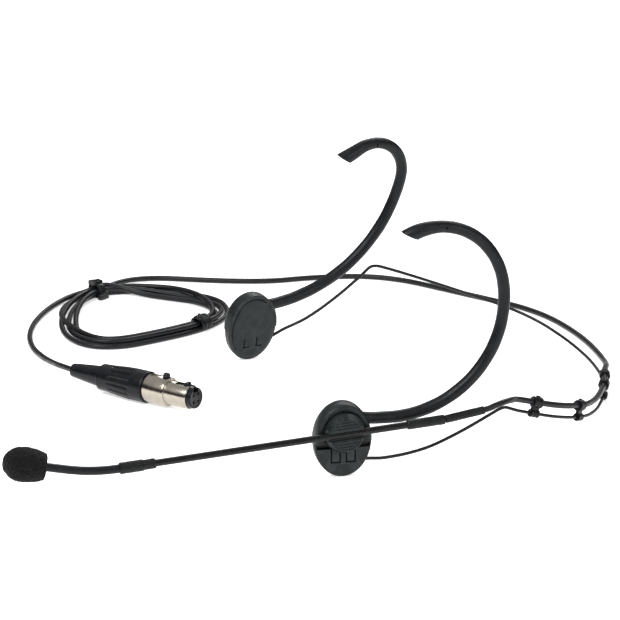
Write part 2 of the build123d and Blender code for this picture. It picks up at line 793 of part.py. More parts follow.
SIDE_PLANE = Plane(
    origin=CONNECTOR_ORIGIN, x_dir=HEADING, z_dir=HEADING.cross(Vector(0, 0, 1))
)
SIDE_NORMAL = SIDE_PLANE.z_dir


def turned(points):
    """A solid turned about the connector's axis from (distance, radius) points."""
    with BuildPart() as body:
        with BuildSketch(SIDE_PLANE):
            with BuildLine():
                Polyline(*points, close=True)
            make_face()
        revolve(axis=Axis(CONNECTOR_ORIGIN, HEADING))
    return body.part


def make_boot():
    bore = CABLE_RADIUS
    return turned(
        [
            (0, bore),
            (0, BOOT_RADII[0] - BOOT_EDGE),
            (BOOT_EDGE, BOOT_RADII[0]),
            (BOOT_LENGTH, BOOT_RADII[1]),
            (COLLET_START, BOOT_RADII[1]),
            (COLLET_START, bore),
        ]
    )


def make_grip():
    inner = GRIP_RADII[0] - GRIP_WALL
    with BuildPart() as grip:
        add(
            turned(
                [
                    (BOOT_LENGTH, BOOT_RADII[1]),
                    (BOOT_LENGTH, GRIP_RADII[0] - GRIP_EDGE),
                    (BOOT_LENGTH + GRIP_EDGE, GRIP_RADII[0]),
                    (FLUTE_END, GRIP_RADII[1]),
                    (GRIP_END, GRIP_RADII[1]),
                    (GRIP_END, inner + GRIP_WALL / 2),
                    (COLLET_START, inner + GRIP_WALL / 2),
                    (COLLET_START, BOOT_RADII[1]),
                ]
            )
        )
        with BuildSketch(connector_plane(FLUTE_START)):
            with PolarLocations(GRIP_RADII[1] + 0.1, FLUTES):
                Circle(FLUTE_RADIUS)
        extrude(amount=FLUTE_END - FLUTE_START, mode=Mode.SUBTRACT)
    return grip.part


def make_collet():
    outer = GRIP_RADII[0] - GRIP_WALL * 0.6
    return turned(
        [
            (COLLET_START, CABLE_RADIUS),
            (COLLET_START, outer),
            (SHELL_START - COLLET_SHELL_GAP, outer),
            (SHELL_START - COLLET_SHELL_GAP, CABLE_RADIUS),
        ]
    )


def latch_slot(start, end, bottom, top, width=LATCH_WIDTH + 2 * LATCH_GAP):
    """A box along the connector's top, from one radius to another."""
    with BuildPart() as slot:
        with BuildSketch(connector_plane(start)):
            with Locations(((bottom + top) / 2, 0)):
                Rectangle(top - bottom, width)
        extrude(amount=end - start)
    return slot.part


def make_connector_shell():
    with BuildPart() as shell:
        add(
            turned(
                [
                    (SHELL_START, SHELL_INNER),
                    (SHELL_START, RING_RADIUS - NOSE_EDGE),
                    (SHELL_START + NOSE_EDGE, RING_RADIUS),
                    (RING_END - RING_EDGE, RING_RADIUS),
                    (RING_END, RING_RADIUS - RING_EDGE),
                    (RING_END, NOSE_RADIUS),
                    (NOSE_END - NOSE_EDGE, NOSE_RADIUS),
                    (NOSE_END, NOSE_RADIUS - NOSE_EDGE),
                    (NOSE_END, SHELL_INNER),
                ]
            )
        )
        roof, above = SHELL_INNER + LATCH_SLOT_ROOF, RING_RADIUS + 1
        button_half = LATCH_BUTTON_RADIUS + LATCH_GAP
        window = (LATCH_BUTTON - button_half, LATCH_BUTTON + button_half)
        add(
            latch_slot(LATCH_START - LATCH_GAP, LATCH_SLOT_START, LATCH_LEVEL - 1, roof),
            mode=Mode.SUBTRACT,
        )
        add(latch_slot(*window, LATCH_LEVEL, above), mode=Mode.SUBTRACT)
        add(latch_slot(LATCH_SLOT_START, NOSE_END + 1, LATCH_LEVEL, above), mode=Mode.SUBTRACT)
    return shell.part


def make_insert():
    with BuildPart() as insert:
        outline = [(INSERT_START, 0), (INSERT_START, SHELL_INNER), (INSERT_END, SHELL_INNER)]
        add(turned(outline + [(INSERT_END, 0)]))
        with BuildSketch(connector_plane(INSERT_END)):
            with PolarLocations(PIN_CIRCLE, PIN_COUNT, start_angle=45):
                Circle(PIN_HOLE_RADIUS)
        extrude(amount=-(INSERT_END - INSERT_START - INSERT_FLOOR), mode=Mode.SUBTRACT)
        drop = (LATCH_END - LATCH_PIVOT) * sin(radians(LATCH_TRAVEL))
        add(
            latch_slot(INSERT_START, INSERT_END, LATCH_LEVEL - drop - LATCH_GAP, SHELL_INNER + 1),
            mode=Mode.SUBTRACT,
        )
    return insert.part


def make_contacts():
    """Four spring sockets, one group of separate sleeves."""
    with BuildPart() as contacts:
        with BuildSketch(connector_plane(INSERT_START + INSERT_FLOOR)):
            with PolarLocations(PIN_CIRCLE, PIN_COUNT, start_angle=45):
                Circle(PIN_HOLE_RADIUS)
                Circle(PIN_HOLE_RADIUS - CONTACT_WALL, mode=Mode.SUBTRACT)
        extrude(amount=INSERT_END - INSERT_START - INSERT_FLOOR - CONTACT_RECESS)
    return contacts.part


def make_latch():
    """The latch lever: a flat spring arm with a button over the ring and a hook at the nose."""
    low, high = LATCH_LEVEL, LATCH_LEVEL + LATCH_THICKNESS
    with BuildPart() as lever:
        with BuildSketch(SIDE_PLANE):
            with BuildLine():
                Polyline(
                    (LATCH_START, low),
                    (LATCH_START, high),
                    (LATCH_HOOK - LATCH_HOOK_RAMP, high),
                    (LATCH_HOOK, LATCH_HOOK_TOP),
                    (LATCH_HOOK + LATCH_HOOK_LENGTH, LATCH_HOOK_TOP),
                    (LATCH_HOOK + LATCH_HOOK_LENGTH, high),
                    (LATCH_END, high),
                    (LATCH_END, low),
                    close=True,
                )
            make_face()
        extrude(amount=LATCH_WIDTH / 2, both=True)
        button = Plane(
            origin=CONNECTOR_ORIGIN + HEADING * LATCH_BUTTON + Vector(0, 0, high - 0.1),
            z_dir=(0, 0, 1),
        )
        with BuildSketch(button):
            Circle(LATCH_BUTTON_RADIUS)
        extrude(amount=LATCH_BUTTON_TOP - high + 0.1)
        top = lever.faces().sort_by(Axis.Z)[-1]
        fillet(top.edges(), LATCH_BUTTON_RADIUS * 0.6)
        hole = Plane(origin=latch_pivot(), z_dir=SIDE_NORMAL)
        with BuildSketch(hole):
            Circle(LATCH_PIN_RADIUS + LATCH_PIN_CLEARANCE)
        extrude(amount=LATCH_WIDTH, both=True, mode=Mode.SUBTRACT)
    return lever.part


def latch_pivot():
    level_z = LATCH_LEVEL + LATCH_THICKNESS / 2
    return CONNECTOR_ORIGIN + HEADING * LATCH_PIVOT + Vector(0, 0, level_z)


def make_latch_pin():
    with BuildPart() as pin:
        with BuildSketch(Plane(origin=latch_pivot(), z_dir=SIDE_NORMAL)):
            Circle(LATCH_PIN_RADIUS)
        extrude(amount=LATCH_WIDTH / 2 + LATCH_GAP - LATCH_PIN_END_GAP, both=True)
    return pin.part


# --------------------------------------------------------------------- output

for side in SIDES:
    save(make_inner_plate(side), f"{side}_inner_plate")
    save(make_upper_shell(side), f"{side}_upper_shell")
    save(make_lower_clamp(side), f"{side}_lower_clamp")
    save(make_knob(side, BOOM_RISE if side == "near" else 0), f"{side}_knob")
    save(make_knob_screw(side), f"{side}_knob_screw")
    save(make_spring_washer(side), f"{side}_spring_washer")
    core = make_hook_core(side)
    save(make_hook_tube(side), f"{side}_hook_sleeve")
    save(core, f"{side}_hook_core")
    disc = make_pivot_disc(side, HOOK_PIVOT, HOOK_DISC_RADIUS, HOOK_POST_RADIUS, core)
    save(disc, f"{side}_hook_pivot")

save(make_neck(NECK_RADIUS, NECK_CORE_RADIUS), "gooseneck")
save(make_neck(NECK_CORE_RADIUS), "gooseneck_core")
save(make_rod(boom_plane(ROD_FRONT), ROD_RADIUS, ROD_REAR - ROD_FRONT), "boom_rod")
front, step, rear = FRONT_SLEEVE
neck_bore = NECK_RADIUS + GROOVE_CLEARANCE
save(
    make_sleeve(boom_plane(front), step - front, neck_bore + SLEEVE_WALL, neck_bore),
    "front_sleeve",
)
save(
    make_sleeve(boom_plane(step), rear - step, neck_bore + UNDER_SLEEVE_WALL, neck_bore),
    "front_under_sleeve",
)
front, step, rear = REAR_SLEEVE
save(make_sleeve(boom_plane(front), step - front, ROD_RADIUS + SLEEVE_WALL, ROD_RADIUS), "rear_sleeve")
sleeve_start = boom_plane(step).origin + BOOM_BACK * SLEEVE_WALL
cable_sleeve = boom_plane(0, CABLE_SLEEVE_RISE, sleeve_start)
save(
    make_sleeve(cable_sleeve, rear - step, CABLE_RADIUS + CABLE_SLEEVE_WALL, CABLE_RADIUS),
    "cable_sleeve",
)

head = Plane(origin=HEAD_START, x_dir=(1, 0, 0), z_dir=HEAD_HEADING)
save(
    make_sleeve(head, CAPSULE_LENGTH, CAPSULE_RADIUS, CAPSULE_RADIUS - CAPSULE_WALL)
    + make_rod(head, CAPSULE_RADIUS - CAPSULE_WALL, CAPSULE_STEP),
    "capsule_housing",
)
element = head.offset(CAPSULE_LENGTH - ELEMENT_LENGTH)
capsule_bore = CAPSULE_RADIUS - CAPSULE_WALL
save(make_rod(element, capsule_bore, ELEMENT_LENGTH - ELEMENT_RECESS), "capsule_element")


save(make_windscreen(head), "windscreen")



def wire_start(side):
    """Where the neckband wire enters its pivot disc, and a point along its first run."""
    begin = polar(WIRE_PIVOT, WIRE_DISC_RADIUS * 0.55, WIRE_ANGLE[side])
    outside = polar(WIRE_PIVOT, WIRE_DISC_RADIUS * 3, WIRE_ANGLE[side])
    return on_pad(side, *begin, PIVOT_DEPTH), on_pad(side, *outside, PIVOT_DEPTH)


near_in, near_out = wire_start("near")
far_in, far_out = wire_start("far")
wire_route = [near_in, near_out] + NEAR_ARM + NECKBAND + FAR_ARM + [far_out, far_in]
wire = tube(wire_route, WIRE_RADIUS, "neckband_wire")
save(wire, "neckband_wire")
for side in SIDES:
    disc = make_pivot_disc(side, WIRE_PIVOT, WIRE_DISC_RADIUS, WIRE_POST_RADIUS, wire)
    save(disc, f"{side}_wire_pivot")
for number, run in enumerate(CLIP_RUNS, start=1):
    save(make_clip(run), f"cable_clip_{number}")


def raised(point):
    return Vector(*point) + Vector(0, 0, CLIP_SPACING)


def middle_of(a, b):
    return (Vector(*a) + Vector(*b)) / 2


first_clip = raised(middle_of(NECKBAND[0], NECKBAND[1]))
last_clip = raised(middle_of(NECKBAND[CLIPPED_TO - 1], NECKBAND[CLIPPED_TO]))
lead_out = cable_sleeve.origin + cable_sleeve.z_dir * (rear - step)
save(tube([lead_out] + LEAD + [raised(NECKBAND[0]), first_clip], CABLE_RADIUS, "boom_lead"), "boom_lead")
clipped = [first_clip] + [raised(p) for p in NECKBAND[1:CLIPPED_TO]] + [last_clip]
save(tube(clipped, CABLE_RADIUS, "clipped_cable"), "clipped_cable")
trailing = [last_clip, raised(NECKBAND[CLIPPED_TO])] + TRAILING
save(tube(trailing, CABLE_RADIUS, "trailing_cable"), "trailing_cable")
save(make_coil(), "cable_coil")
save(make_tie(COIL[0], COIL[1]), "coil_clip_tie")
save(make_tie(COIL[8], COIL[9]), "coil_twist_tie")
connector_lead = CONNECTOR_LEAD + [connector_plane(0).origin]
save(tube(connector_lead, CABLE_RADIUS, "connector_cable"), "connector_cable")

save(make_boot(), "connector_boot")
save(make_grip(), "connector_grip")
save(make_collet(), "connector_collet")
save(make_connector_shell(), "connector_shell")
save(make_insert(), "connector_insert")
save(make_contacts(), "connector_contacts")
save(make_latch(), "latch_lever")
save(make_latch_pin(), "latch_pin")
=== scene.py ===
"""A headset microphone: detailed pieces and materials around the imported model.

Shapes are worked out in millimetres and placed in metres.  +Z is up, the wearer faces -Y
and +X is the side that carries the boom, called near here because the camera stands there.
"""

import json
import math

import bmesh
import bpy
from mathutils import Matrix, Vector, noise


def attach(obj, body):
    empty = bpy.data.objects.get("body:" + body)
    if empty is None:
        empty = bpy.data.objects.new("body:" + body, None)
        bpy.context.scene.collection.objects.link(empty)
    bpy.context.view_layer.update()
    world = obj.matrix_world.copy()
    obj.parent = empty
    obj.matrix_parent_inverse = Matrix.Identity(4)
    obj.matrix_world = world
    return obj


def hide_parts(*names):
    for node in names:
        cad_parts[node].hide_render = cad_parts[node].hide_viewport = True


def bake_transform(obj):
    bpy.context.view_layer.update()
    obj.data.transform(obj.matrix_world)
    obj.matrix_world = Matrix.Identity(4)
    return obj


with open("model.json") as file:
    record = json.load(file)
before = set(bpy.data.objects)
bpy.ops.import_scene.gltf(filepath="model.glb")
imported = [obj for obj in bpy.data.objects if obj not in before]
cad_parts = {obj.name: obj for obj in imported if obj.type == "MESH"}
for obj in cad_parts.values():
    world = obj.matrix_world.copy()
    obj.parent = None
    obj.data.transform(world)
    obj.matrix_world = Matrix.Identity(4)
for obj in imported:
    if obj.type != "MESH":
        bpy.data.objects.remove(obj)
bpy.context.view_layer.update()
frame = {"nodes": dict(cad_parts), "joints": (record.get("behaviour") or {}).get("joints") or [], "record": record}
JOINTS = {joint["name"]: joint for joint in frame["joints"]}
NODES = frame["nodes"]
MM = 0.001
UP = Vector((0, 0, 1))
SIDES = ("near", "far")

# ------------------------------------------------------------------- sizes, in millimetres

PAD_HALF = (9.6, 12.5)
PLATE_HALF = (8.15, 11.05)
PLATE_THICKNESS = 1.0
SEAM_HEIGHT = -0.6
SEAM_GAP = 0.1
SKIRT = 0.45
RIM_TOP = 5.9
RIM_SHOULDER = 3.3
RIM_WALL = 1.3
FLOOR_TOP = 4.6
FLOOR_UNDER = 3.8
CLAMP_TOP = 4.3
CLAMP_STEP = 2.4
CLAMP_STEP_HEIGHT = -2.9
TAB_OFFSET = 2.5
TAB_WIDTH = 2.4
TAB_BOTTOM = -7.2
TAB_SLOT = 0.5
KNOB_RADIUS = 6.7
KNOB_HEIGHT = 3.1
KNOB_BASE = 4.7
KNOB_TOP = 9.0
GROOVE_DEPTH = 7.7
ROD_RADIUS = 1.15
PIVOT_DEPTH = 2.75
HOOK_PIVOT = (4.2, 6.9)
WIRE_PIVOT = (5.3, -7.3)
WIRE_ANGLE = {"near": 0.0, "far": 22.0}
HOOK_RADIUS = 2.0
HOOK_START = 2.7
HOOK_KNEE = 4.2
HOOK_ANGLE = {"near": -6.3, "far": 3.1}
HOOK_BENDS = {
    "near": ((11.0, 10.6), (60.7, 93.4), (16.0, 37.3), (26.2, 71.2)),
    "far": ((25.0, 26.4), (44.4, 51.8), (28.0, 126.2), (5.8, -3.0)),
}
HOOK_TIP_CUT = {"near": 38.0, "far": 34.0}
HOOK_TIP_EXTRA = {"near": 1.9, "far": 2.3}
HOOK_FLARE = (13.0, 0.27)
HOOK_DIMPLE = 12.5
HOOK_STEP = 0.8
HOOK_BORE = 0.75
HOOK_MOUTH_SWING = 8.5
WIRE_MOUTH_SWING = 13
MOUTH_GAP = 0.15
WIRE_MOUTH_GAP = 0.3
CABLE_RADIUS = 1.0
WIRE_RADIUS = 0.55
CLIP_RISE = 4.0
CLIP_RUNS = (0, 2, 5, 6)
CLIP_LENGTH = 3.4
NECK_RADIUS = 1.4
NECK_CORE_RADIUS = 0.6
SLEEVE_WALL = 0.45

# The neckband wire's points behind the near arm, which the clipped cable follows 4 mm above
NECKBAND = [
    (58.9, 58.9, 15.4),
    (55.2, 71.6, 11.2),
    (49.6, 80.0, 8.3),
    (40.0, 89.4, 5.0),
    (28.5, 96.6, 3.2),
    (16.0, 102.6, 2.3),
    (6.0, 106.9, 1.8),
    (-6.0, 110.4, 1.5),
]
LEAD = [(69.4, 48.2, 21.2), (68.0, 51.6, 21.7), (65.4, 54.8, 21.3)]
TRAILING = [
    (-12.0, 113.2, 5.0),
    (-20.0, 115.8, 3.2),
    (-30.0, 118.2, 1.4),
    (-42.0, 119.4, 1.05),
    (-56.0, 119.6, 1.05),
    (-72.0, 118.2, 1.05),
    (-88.0, 115.0, 1.05),
    (-102.0, 108.8, 1.05),
    (-115.0, 99.4, 1.05),
    (-131.0, 87.8, 1.05),
    (-146.0, 76.8, 1.05),
    (-155.0, 63.4, 1.05),
    (-157.4, 44.0, 1.05),
    (-156.0, 28.0, 1.05),
    (-160.4, 12.0, 1.05),
    (-166.4, -2.0, 1.05),
    (-171.0, -12.6, 1.05),
    (-170.6, -23.0, 1.3),
    (-163.6, -32.0, 1.9),
]
# The coil's middle line, and how loosely its turns lie there, from 0 in a tie to 1
COIL = [
    ((-157.1, -35.1), 0),
    ((-153.5, -42.6), 0.05),
    ((-141.5, -50.9), 0.3),
    ((-123.1, -56.8), 0.5),
    ((-105.3, -57.8), 0.5),
    ((-92.7, -53.0), 0.3),
    ((-89.3, -43.3), 0.1),
    ((-93.5, -30.9), 0),
    ((-100.4, -15.4), 0),
    ((-108.2, -5.2), 0),
    ((-119.2, 0.7), 0.3),
    ((-134.4, 0.9), 0.9),
    ((-148.4, -8.2), 1.0),
    ((-156.4, -21.5), 0.35),
]
COIL_TURNS = 4
BUNDLE_STEP = 1.1
FAN_STEP = 4.2
BUNDLE_RISE = 1.8
CONNECTOR_LEAD = [
    (-154.6, -42.4, 2.6),
    (-152.6, -49.6, 1.7),
    (-145.3, -57.0, 1.05),
    (-134.0, -63.8, 1.05),
    (-121.8, -69.2, 1.05),
    (-108.4, -73.0, 1.05),
    (-94.6, -74.4, 1.05),
    (-81.4, -73.2, 1.5),
    (-69.2, -71.8, 3.0),
    (-58.6, -70.6, 4.8),
]
CONNECTOR_START = Vector((-50.9, -67.8, 5.5))
CONNECTOR_HEADING = Vector((0.77, 0.638, 0.0)).normalized()


# --------------------------------------------------------------------------- materials


def node_material(name):
    material = bpy.data.materials.new(name)
    material.use_nodes = True
    nodes, links = material.node_tree.nodes, material.node_tree.links
    return material, nodes, links, nodes["Principled BSDF"]


def coordinates(nodes, links):
    """Object coordinates in millimetres."""
    place = nodes.new("ShaderNodeTexCoord")
    mapping = nodes.new("ShaderNodeMapping")
    mapping.inputs["Scale"].default_value = [1 / MM] * 3
    links.new(place.outputs["Object"], mapping.inputs["Vector"])
    return mapping.outputs["Vector"]


def noise_node(nodes, links, vector, scale, detail=3.0, roughness=0.6):
    node = nodes.new("ShaderNodeTexNoise")
    node.inputs["Scale"].default_value = scale
    node.inputs["Detail"].default_value = detail
    node.inputs["Roughness"].default_value = roughness
    links.new(vector, node.inputs["Vector"])
    return node.outputs["Fac"]


def ramp(nodes, links, value, low, high, start=0.35, end=0.65):
    """A value, or a colour, that runs from low to high as the input runs from start to end."""
    node = nodes.new("ShaderNodeValToRGB")
    node.color_ramp.elements[0].position, node.color_ramp.elements[1].position = start, end
    for element, level in zip(node.color_ramp.elements, (low, high)):
        element.color = (*level, 1) if isinstance(level, tuple) else (level, level, level, 1)
    links.new(value, node.inputs["Fac"])
    return node.outputs["Color"]


def bump(nodes, links, height, shader, distance):
    """Relief on a shader's surface, its depth in millimetres."""
    node = nodes.new("ShaderNodeBump")
    node.inputs["Strength"].default_value = 1.0
    node.inputs["Distance"].default_value = distance * MM
    links.new(height, node.inputs["Height"])
    links.new(node.outputs["Normal"], shader.inputs["Normal"])


def moulded(name, colour, roughness, grain=2.6, depth=0.02, wear=0.35):
    """Moulded plastic or rubber: mottled colour, uneven sheen, a fine grain and rubbed edges."""
    material, nodes, links, shader = node_material(name)
    vector = coordinates(nodes, links)
    mottle = noise_node(nodes, links, vector, 0.35, 4)
    dark = tuple(c * 0.78 for c in colour)
    light = tuple(min(1, c * 1.25 + 0.002) for c in colour)
    body = ramp(nodes, links, mottle, dark, light)
    edge = nodes.new("ShaderNodeNewGeometry")
    rubbed = ramp(nodes, links, edge.outputs["Pointiness"], 0.0, wear, 0.52, 0.62)
    mix = nodes.new("ShaderNodeMix")
    mix.data_type = "RGBA"
    links.new(rubbed, mix.inputs["Factor"])
    links.new(body, mix.inputs["A"])
    mix.inputs["B"].default_value = (*[min(1, c * 2.2 + 0.02) for c in colour], 1)
    links.new(mix.outputs["Result"], shader.inputs["Base Color"])
    sheen = noise_node(nodes, links, vector, 0.9, 5)
    links.new(
        ramp(nodes, links, sheen, roughness - 0.07, roughness + 0.08),
        shader.inputs["Roughness"],
    )
    bump(nodes, links, noise_node(nodes, links, vector, grain, 2), shader, depth)
    shader.inputs["Specular IOR Level"].default_value = 0.22
    return material


def jacket(name, colour, roughness):
    """A cable's jacket: semi-gloss, faintly uneven along its length, with dull scuffs."""
    material, nodes, links, shader = node_material(name)
    vector = coordinates(nodes, links)
    scuff = noise_node(nodes, links, vector, 0.22, 6, 0.7)
    links.new(
        ramp(nodes, links, scuff, tuple(c * 0.85 for c in colour), tuple(c * 1.5 for c in colour)),
        shader.inputs["Base Color"],
    )
    links.new(
        ramp(nodes, links, scuff, roughness - 0.06, roughness + 0.12),
        shader.inputs["Roughness"],
    )
    bump(nodes, links, noise_node(nodes, links, vector, 1.1, 3), shader, 0.03)
    shader.inputs["Specular IOR Level"].default_value = 0.28
    return material


# The pores' colour is painted shade: near black where the foam's holes fall into shadow.
PAINTED_PORE_SHADE = (0.0008, 0.0008, 0.001)
STRUT_COLOUR = (0.0062, 0.0062, 0.0068)


def open_foam(name):
    """Open-cell foam: the pores painted darker than the slightly lighter struts, as painted shade in the holes,
    quite without gloss.
    """
    material, nodes, links, shader = node_material(name)
    vector = coordinates(nodes, links)
    cells = nodes.new("ShaderNodeTexVoronoi")
    cells.inputs["Scale"].default_value = 2.1
    links.new(vector, cells.inputs["Vector"])
    # Painted shade in the pores: darker towards each cell's middle, the struts' own colour at its edge.
    links.new(
        ramp(nodes, links, cells.outputs["Distance"], PAINTED_PORE_SHADE, STRUT_COLOUR, 0.1, 0.7),
        shader.inputs["Base Color"],
    )
    shader.inputs["Roughness"].default_value = 0.95
    shader.inputs["Specular IOR Level"].default_value = 0.1
    shader.inputs["Sheen Weight"].default_value = 0.06
    shader.inputs["Sheen Roughness"].default_value = 0.6
    bump(nodes, links, cells.outputs["Distance"], shader, 0.25)
    return material


def turned_metal(name, colour, roughness, along=None, scratch=0.006):
    """Plated or polished metal with faint tool marks round the axis that it was turned on."""
    material, nodes, links, shader = node_material(name)
    shader.inputs["Metallic"].default_value = 1.0
    vector = coordinates(nodes, links)
    if along is not None:
        dot = nodes.new("ShaderNodeVectorMath")
        dot.operation = "DOT_PRODUCT"
        links.new(vector, dot.inputs[0])
        dot.inputs[1].default_value = along
        combine = nodes.new("ShaderNodeCombineXYZ")
        links.new(dot.outputs["Value"], combine.inputs["X"])
        vector = combine.outputs["Vector"]
    marks = noise_node(nodes, links, vector, 5.0, 4, 0.75)
    tarnish = noise_node(nodes, links, coordinates(nodes, links), 0.5, 4)
    links.new(
        ramp(nodes, links, tarnish, tuple(c * 0.86 for c in colour), colour),
        shader.inputs["Base Color"],
    )
    links.new(
        ramp(nodes, links, marks, roughness - 0.05, roughness + 0.07),
        shader.inputs["Roughness"],
    )
    bump(nodes, links, marks, shader, scratch)
    return material


CHARCOAL = (0.011, 0.0145, 0.0145)
MATERIALS = {
    "pad_plastic": moulded("satin_pad_plastic", CHARCOAL, 0.42, grain=3.2, depth=0.025),
    "knob_plastic": moulded(
        "satin_knob_plastic", (0.009, 0.0125, 0.0125), 0.30, grain=3.2, wear=0.3
    ),
    "hook_rubber": moulded(
        "soft_hook_rubber", (0.0035, 0.0042, 0.0055), 0.40, grain=1.4, depth=0.03, wear=0.1
    ),
    "band_coating": jacket("band_coating", (0.003, 0.003, 0.004), 0.34),
    "boom_coating": jacket("boom_coating", (0.0025, 0.0025, 0.003), 0.26),
    "neck_sleeve": moulded("neck_sleeve_rubber", (0.0035, 0.004, 0.0055), 0.40, grain=1.8, wear=0.1),
    "heat_shrink": moulded(
        "heat_shrink_sleeve", (0.004, 0.0045, 0.005), 0.42, grain=1.2, depth=0.04, wear=0.15
    ),
    "cable_jacket": jacket("cable_jacket", (0.0055, 0.006, 0.0075), 0.38),
    "windscreen_foam": open_foam("open_cell_foam"),
    "clip_plastic": moulded("clip_plastic", (0.0035, 0.0035, 0.0045), 0.34, wear=0.2),
    "tie_plastic": moulded("tie_plastic", (0.0045, 0.005, 0.006), 0.36, wear=0.2),
    "connector_plastic": moulded(
        "connector_plastic", (0.0035, 0.004, 0.006), 0.30, grain=2.0, wear=0.15
    ),
    "nickel_plating": turned_metal("nickel_plating", (0.46, 0.42, 0.36), 0.17, CONNECTOR_HEADING),
    "contact_brass": turned_metal("contact_brass", (0.30, 0.25, 0.15), 0.35),
    "capsule_metal": turned_metal("capsule_metal", (0.22, 0.22, 0.23), 0.35),
    "spring_steel": turned_metal("spring_steel", (0.52, 0.52, 0.53), 0.33),
    "pivot_nylon": moulded("pivot_nylon", (0.03, 0.03, 0.03), 0.5),
}
SLOT_OF = {part["node"]: part["material_slot"] for part in frame["record"]["subparts"]}


def paint_cad_nodes():
    """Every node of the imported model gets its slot's material, whether it shows or not."""
    for name, node in NODES.items():
        node.data.materials.clear()
        node.data.materials.append(MATERIALS[SLOT_OF[name]])


# ------------------------------------------------------------------------ mesh helpers


def ring_faces(bm, rings, closed_along=False):
    """Quads between rings of equally many points, each ring closed on itself."""
    rows = [[bm.verts.new(p) for p in ring] for ring in rings]
    pairs = list(zip(rows, rows[1:])) + ([(rows[-1], rows[0])] if closed_along else [])
    for low, high in pairs:
        for i in range(len(low)):
            j = (i + 1) % len(low)
            bm.faces.new((low[i], low[j], high[j], high[i]))
    return rows


def capped_rings(rings):
    bm = bmesh.new()
    rows = ring_faces(bm, rings)
    bm.faces.new(reversed(rows[0]))
    bm.faces.new(rows[-1])
    bmesh.ops.recalc_face_normals(bm, faces=bm.faces)
    return bm


def around(radius, angle, z=0.0):
    """The point at this radius and angle about z."""
    return Vector((radius * math.cos(angle), radius * math.sin(angle), z))


def circle(radius, steps, z=0.0):
    return [around(radius, math.tau * i / steps, z) for i in range(steps)]


def lathe(profile, steps=64):
    """A closed solid turned about z from (radius, z) points.  A radius of 0 makes a pole."""
    bm = bmesh.new()
    rows = []
    for radius, z in profile:
        if radius == 0:
            rows.append([bm.verts.new((0, 0, z))])
        else:
            rows.append([bm.verts.new(p) for p in circle(radius, steps, z)])
    closed = profile[0][0] != 0 and profile[-1][0] != 0
    for low, high in list(zip(rows, rows[1:])) + ([(rows[-1], rows[0])] if closed else []):
        for i in range(steps):
            j = (i + 1) % steps
            inner, outer = (low[i % len(low)], low[j % len(low)]), (high[j % len(high)], high[i % len(high)])
            corners = list(dict.fromkeys((*inner, *outer)))
            if len(corners) > 2:
                bm.faces.new(corners)
    bmesh.ops.recalc_face_normals(bm, faces=bm.faces)
    return bm


def block(low, high):
    """A box between two corners."""
    bm = bmesh.new()
    bmesh.ops.create_cube(bm, size=1)
    size = Matrix.Diagonal((*(Vector(high) - Vector(low)), 1))
    place = Matrix.Translation((Vector(high) + Vector(low)) / 2)
    bmesh.ops.transform(bm, verts=bm.verts, matrix=place @ size)
    return bm


def bar(start, end, radius, steps=24):
    """A round bar between two points, for cutting grooves and holes."""
    start, end = Vector(start), Vector(end)
    turn = (end - start).to_track_quat("Z", "Y").to_matrix().to_4x4()
    bm = capped_rings([circle(radius, steps, 0), circle(radius, steps, (end - start).length)])
    bmesh.ops.transform(bm, verts=bm.verts, matrix=Matrix.Translation(start) @ turn)
    return bm


def prism(outline, low, high):
    """A solid with a flat outline between two heights."""
    return capped_rings([[Vector((x, y, z)) for x, y in outline] for z in (low, high)])


def tube_frames(points):
    """At each point of a line, two directions across it that don't twist along the way."""
    tangents = []
    for i in range(len(points)):
        before, after = points[max(i - 1, 0)], points[min(i + 1, len(points) - 1)]
        tangents.append((after - before).normalized())
    side = tangents[0].orthogonal().normalized()
    frames = []
    for tangent in tangents:
        side = (side - tangent * side.dot(tangent)).normalized()
        frames.append((tangent, side, tangent.cross(side)))
    return frames


def tube(points, radius, steps=20, reference=None):
    """A round tube along points.  radius is a number or a function of (share, angle), and
    angles count from reference where it is given."""
    rings = []
    for i, (point, (tangent, side, across)) in enumerate(zip(points, tube_frames(points))):
        if reference is not None:
            side = (reference - tangent * reference.dot(tangent)).normalized()
            across = tangent.cross(side)
        ring = []
        for k in range(steps):
            angle = math.tau * k / steps
            r = radius(i / (len(points) - 1), angle) if callable(radius) else radius
            ring.append(point + side * r * math.cos(angle) + across * r * math.sin(angle))
        rings.append(ring)
    return capped_rings(rings)


def joined(*parts):
    """One bmesh with everything in it."""
    whole = parts[0]
    for part in parts[1:]:
        mesh = bpy.data.meshes.new("joining")
        part.to_mesh(mesh)
        whole.from_mesh(mesh)
        bpy.data.meshes.remove(mesh)
        part.free()
    return whole


def to_object(bm, name):
    bmesh.ops.recalc_face_normals(bm, faces=bm.faces)
    mesh = bpy.data.meshes.new(name)
    bm.to_mesh(mesh)
    bm.free()
    thing = bpy.data.objects.new(name, mesh)
    bpy.context.scene.collection.objects.link(thing)
    return thing


def applied(thing):
    """The object with its modifiers made part of its mesh."""
    bpy.context.view_layer.update()
    graph = bpy.context.evaluated_depsgraph_get()
    mesh = bpy.data.meshes.new_from_object(thing.evaluated_get(graph))
    old = thing.data
    thing.modifiers.clear()
    thing.data = mesh
    bpy.data.meshes.remove(old)
    mesh.name = thing.name
    return thing


def combined(thing, tools, operation="DIFFERENCE"):
    """Cuts the tools from a solid, or adds them to it, one after another."""
    for number, tool in enumerate(tools):
        cutter = to_object(tool, f"{thing.name}_tool_{number}")
        modifier = thing.modifiers.new("combine", "BOOLEAN")
        modifier.operation, modifier.object, modifier.solver = operation, cutter, "EXACT"
        applied(thing)
        bpy.data.objects.remove(cutter)
    return thing


def eased(thing, width, segments=2, angle=32):
    """Small rounds on the sharp edges, so that they catch the light."""
    modifier = thing.modifiers.new("ease", "BEVEL")
    modifier.width, modifier.segments = width, segments
    modifier.limit_method, modifier.angle_limit = "ANGLE", math.radians(angle)
    modifier.use_clamp_overlap = True
    modifier.miter_outer = "MITER_ARC"
    return applied(thing)


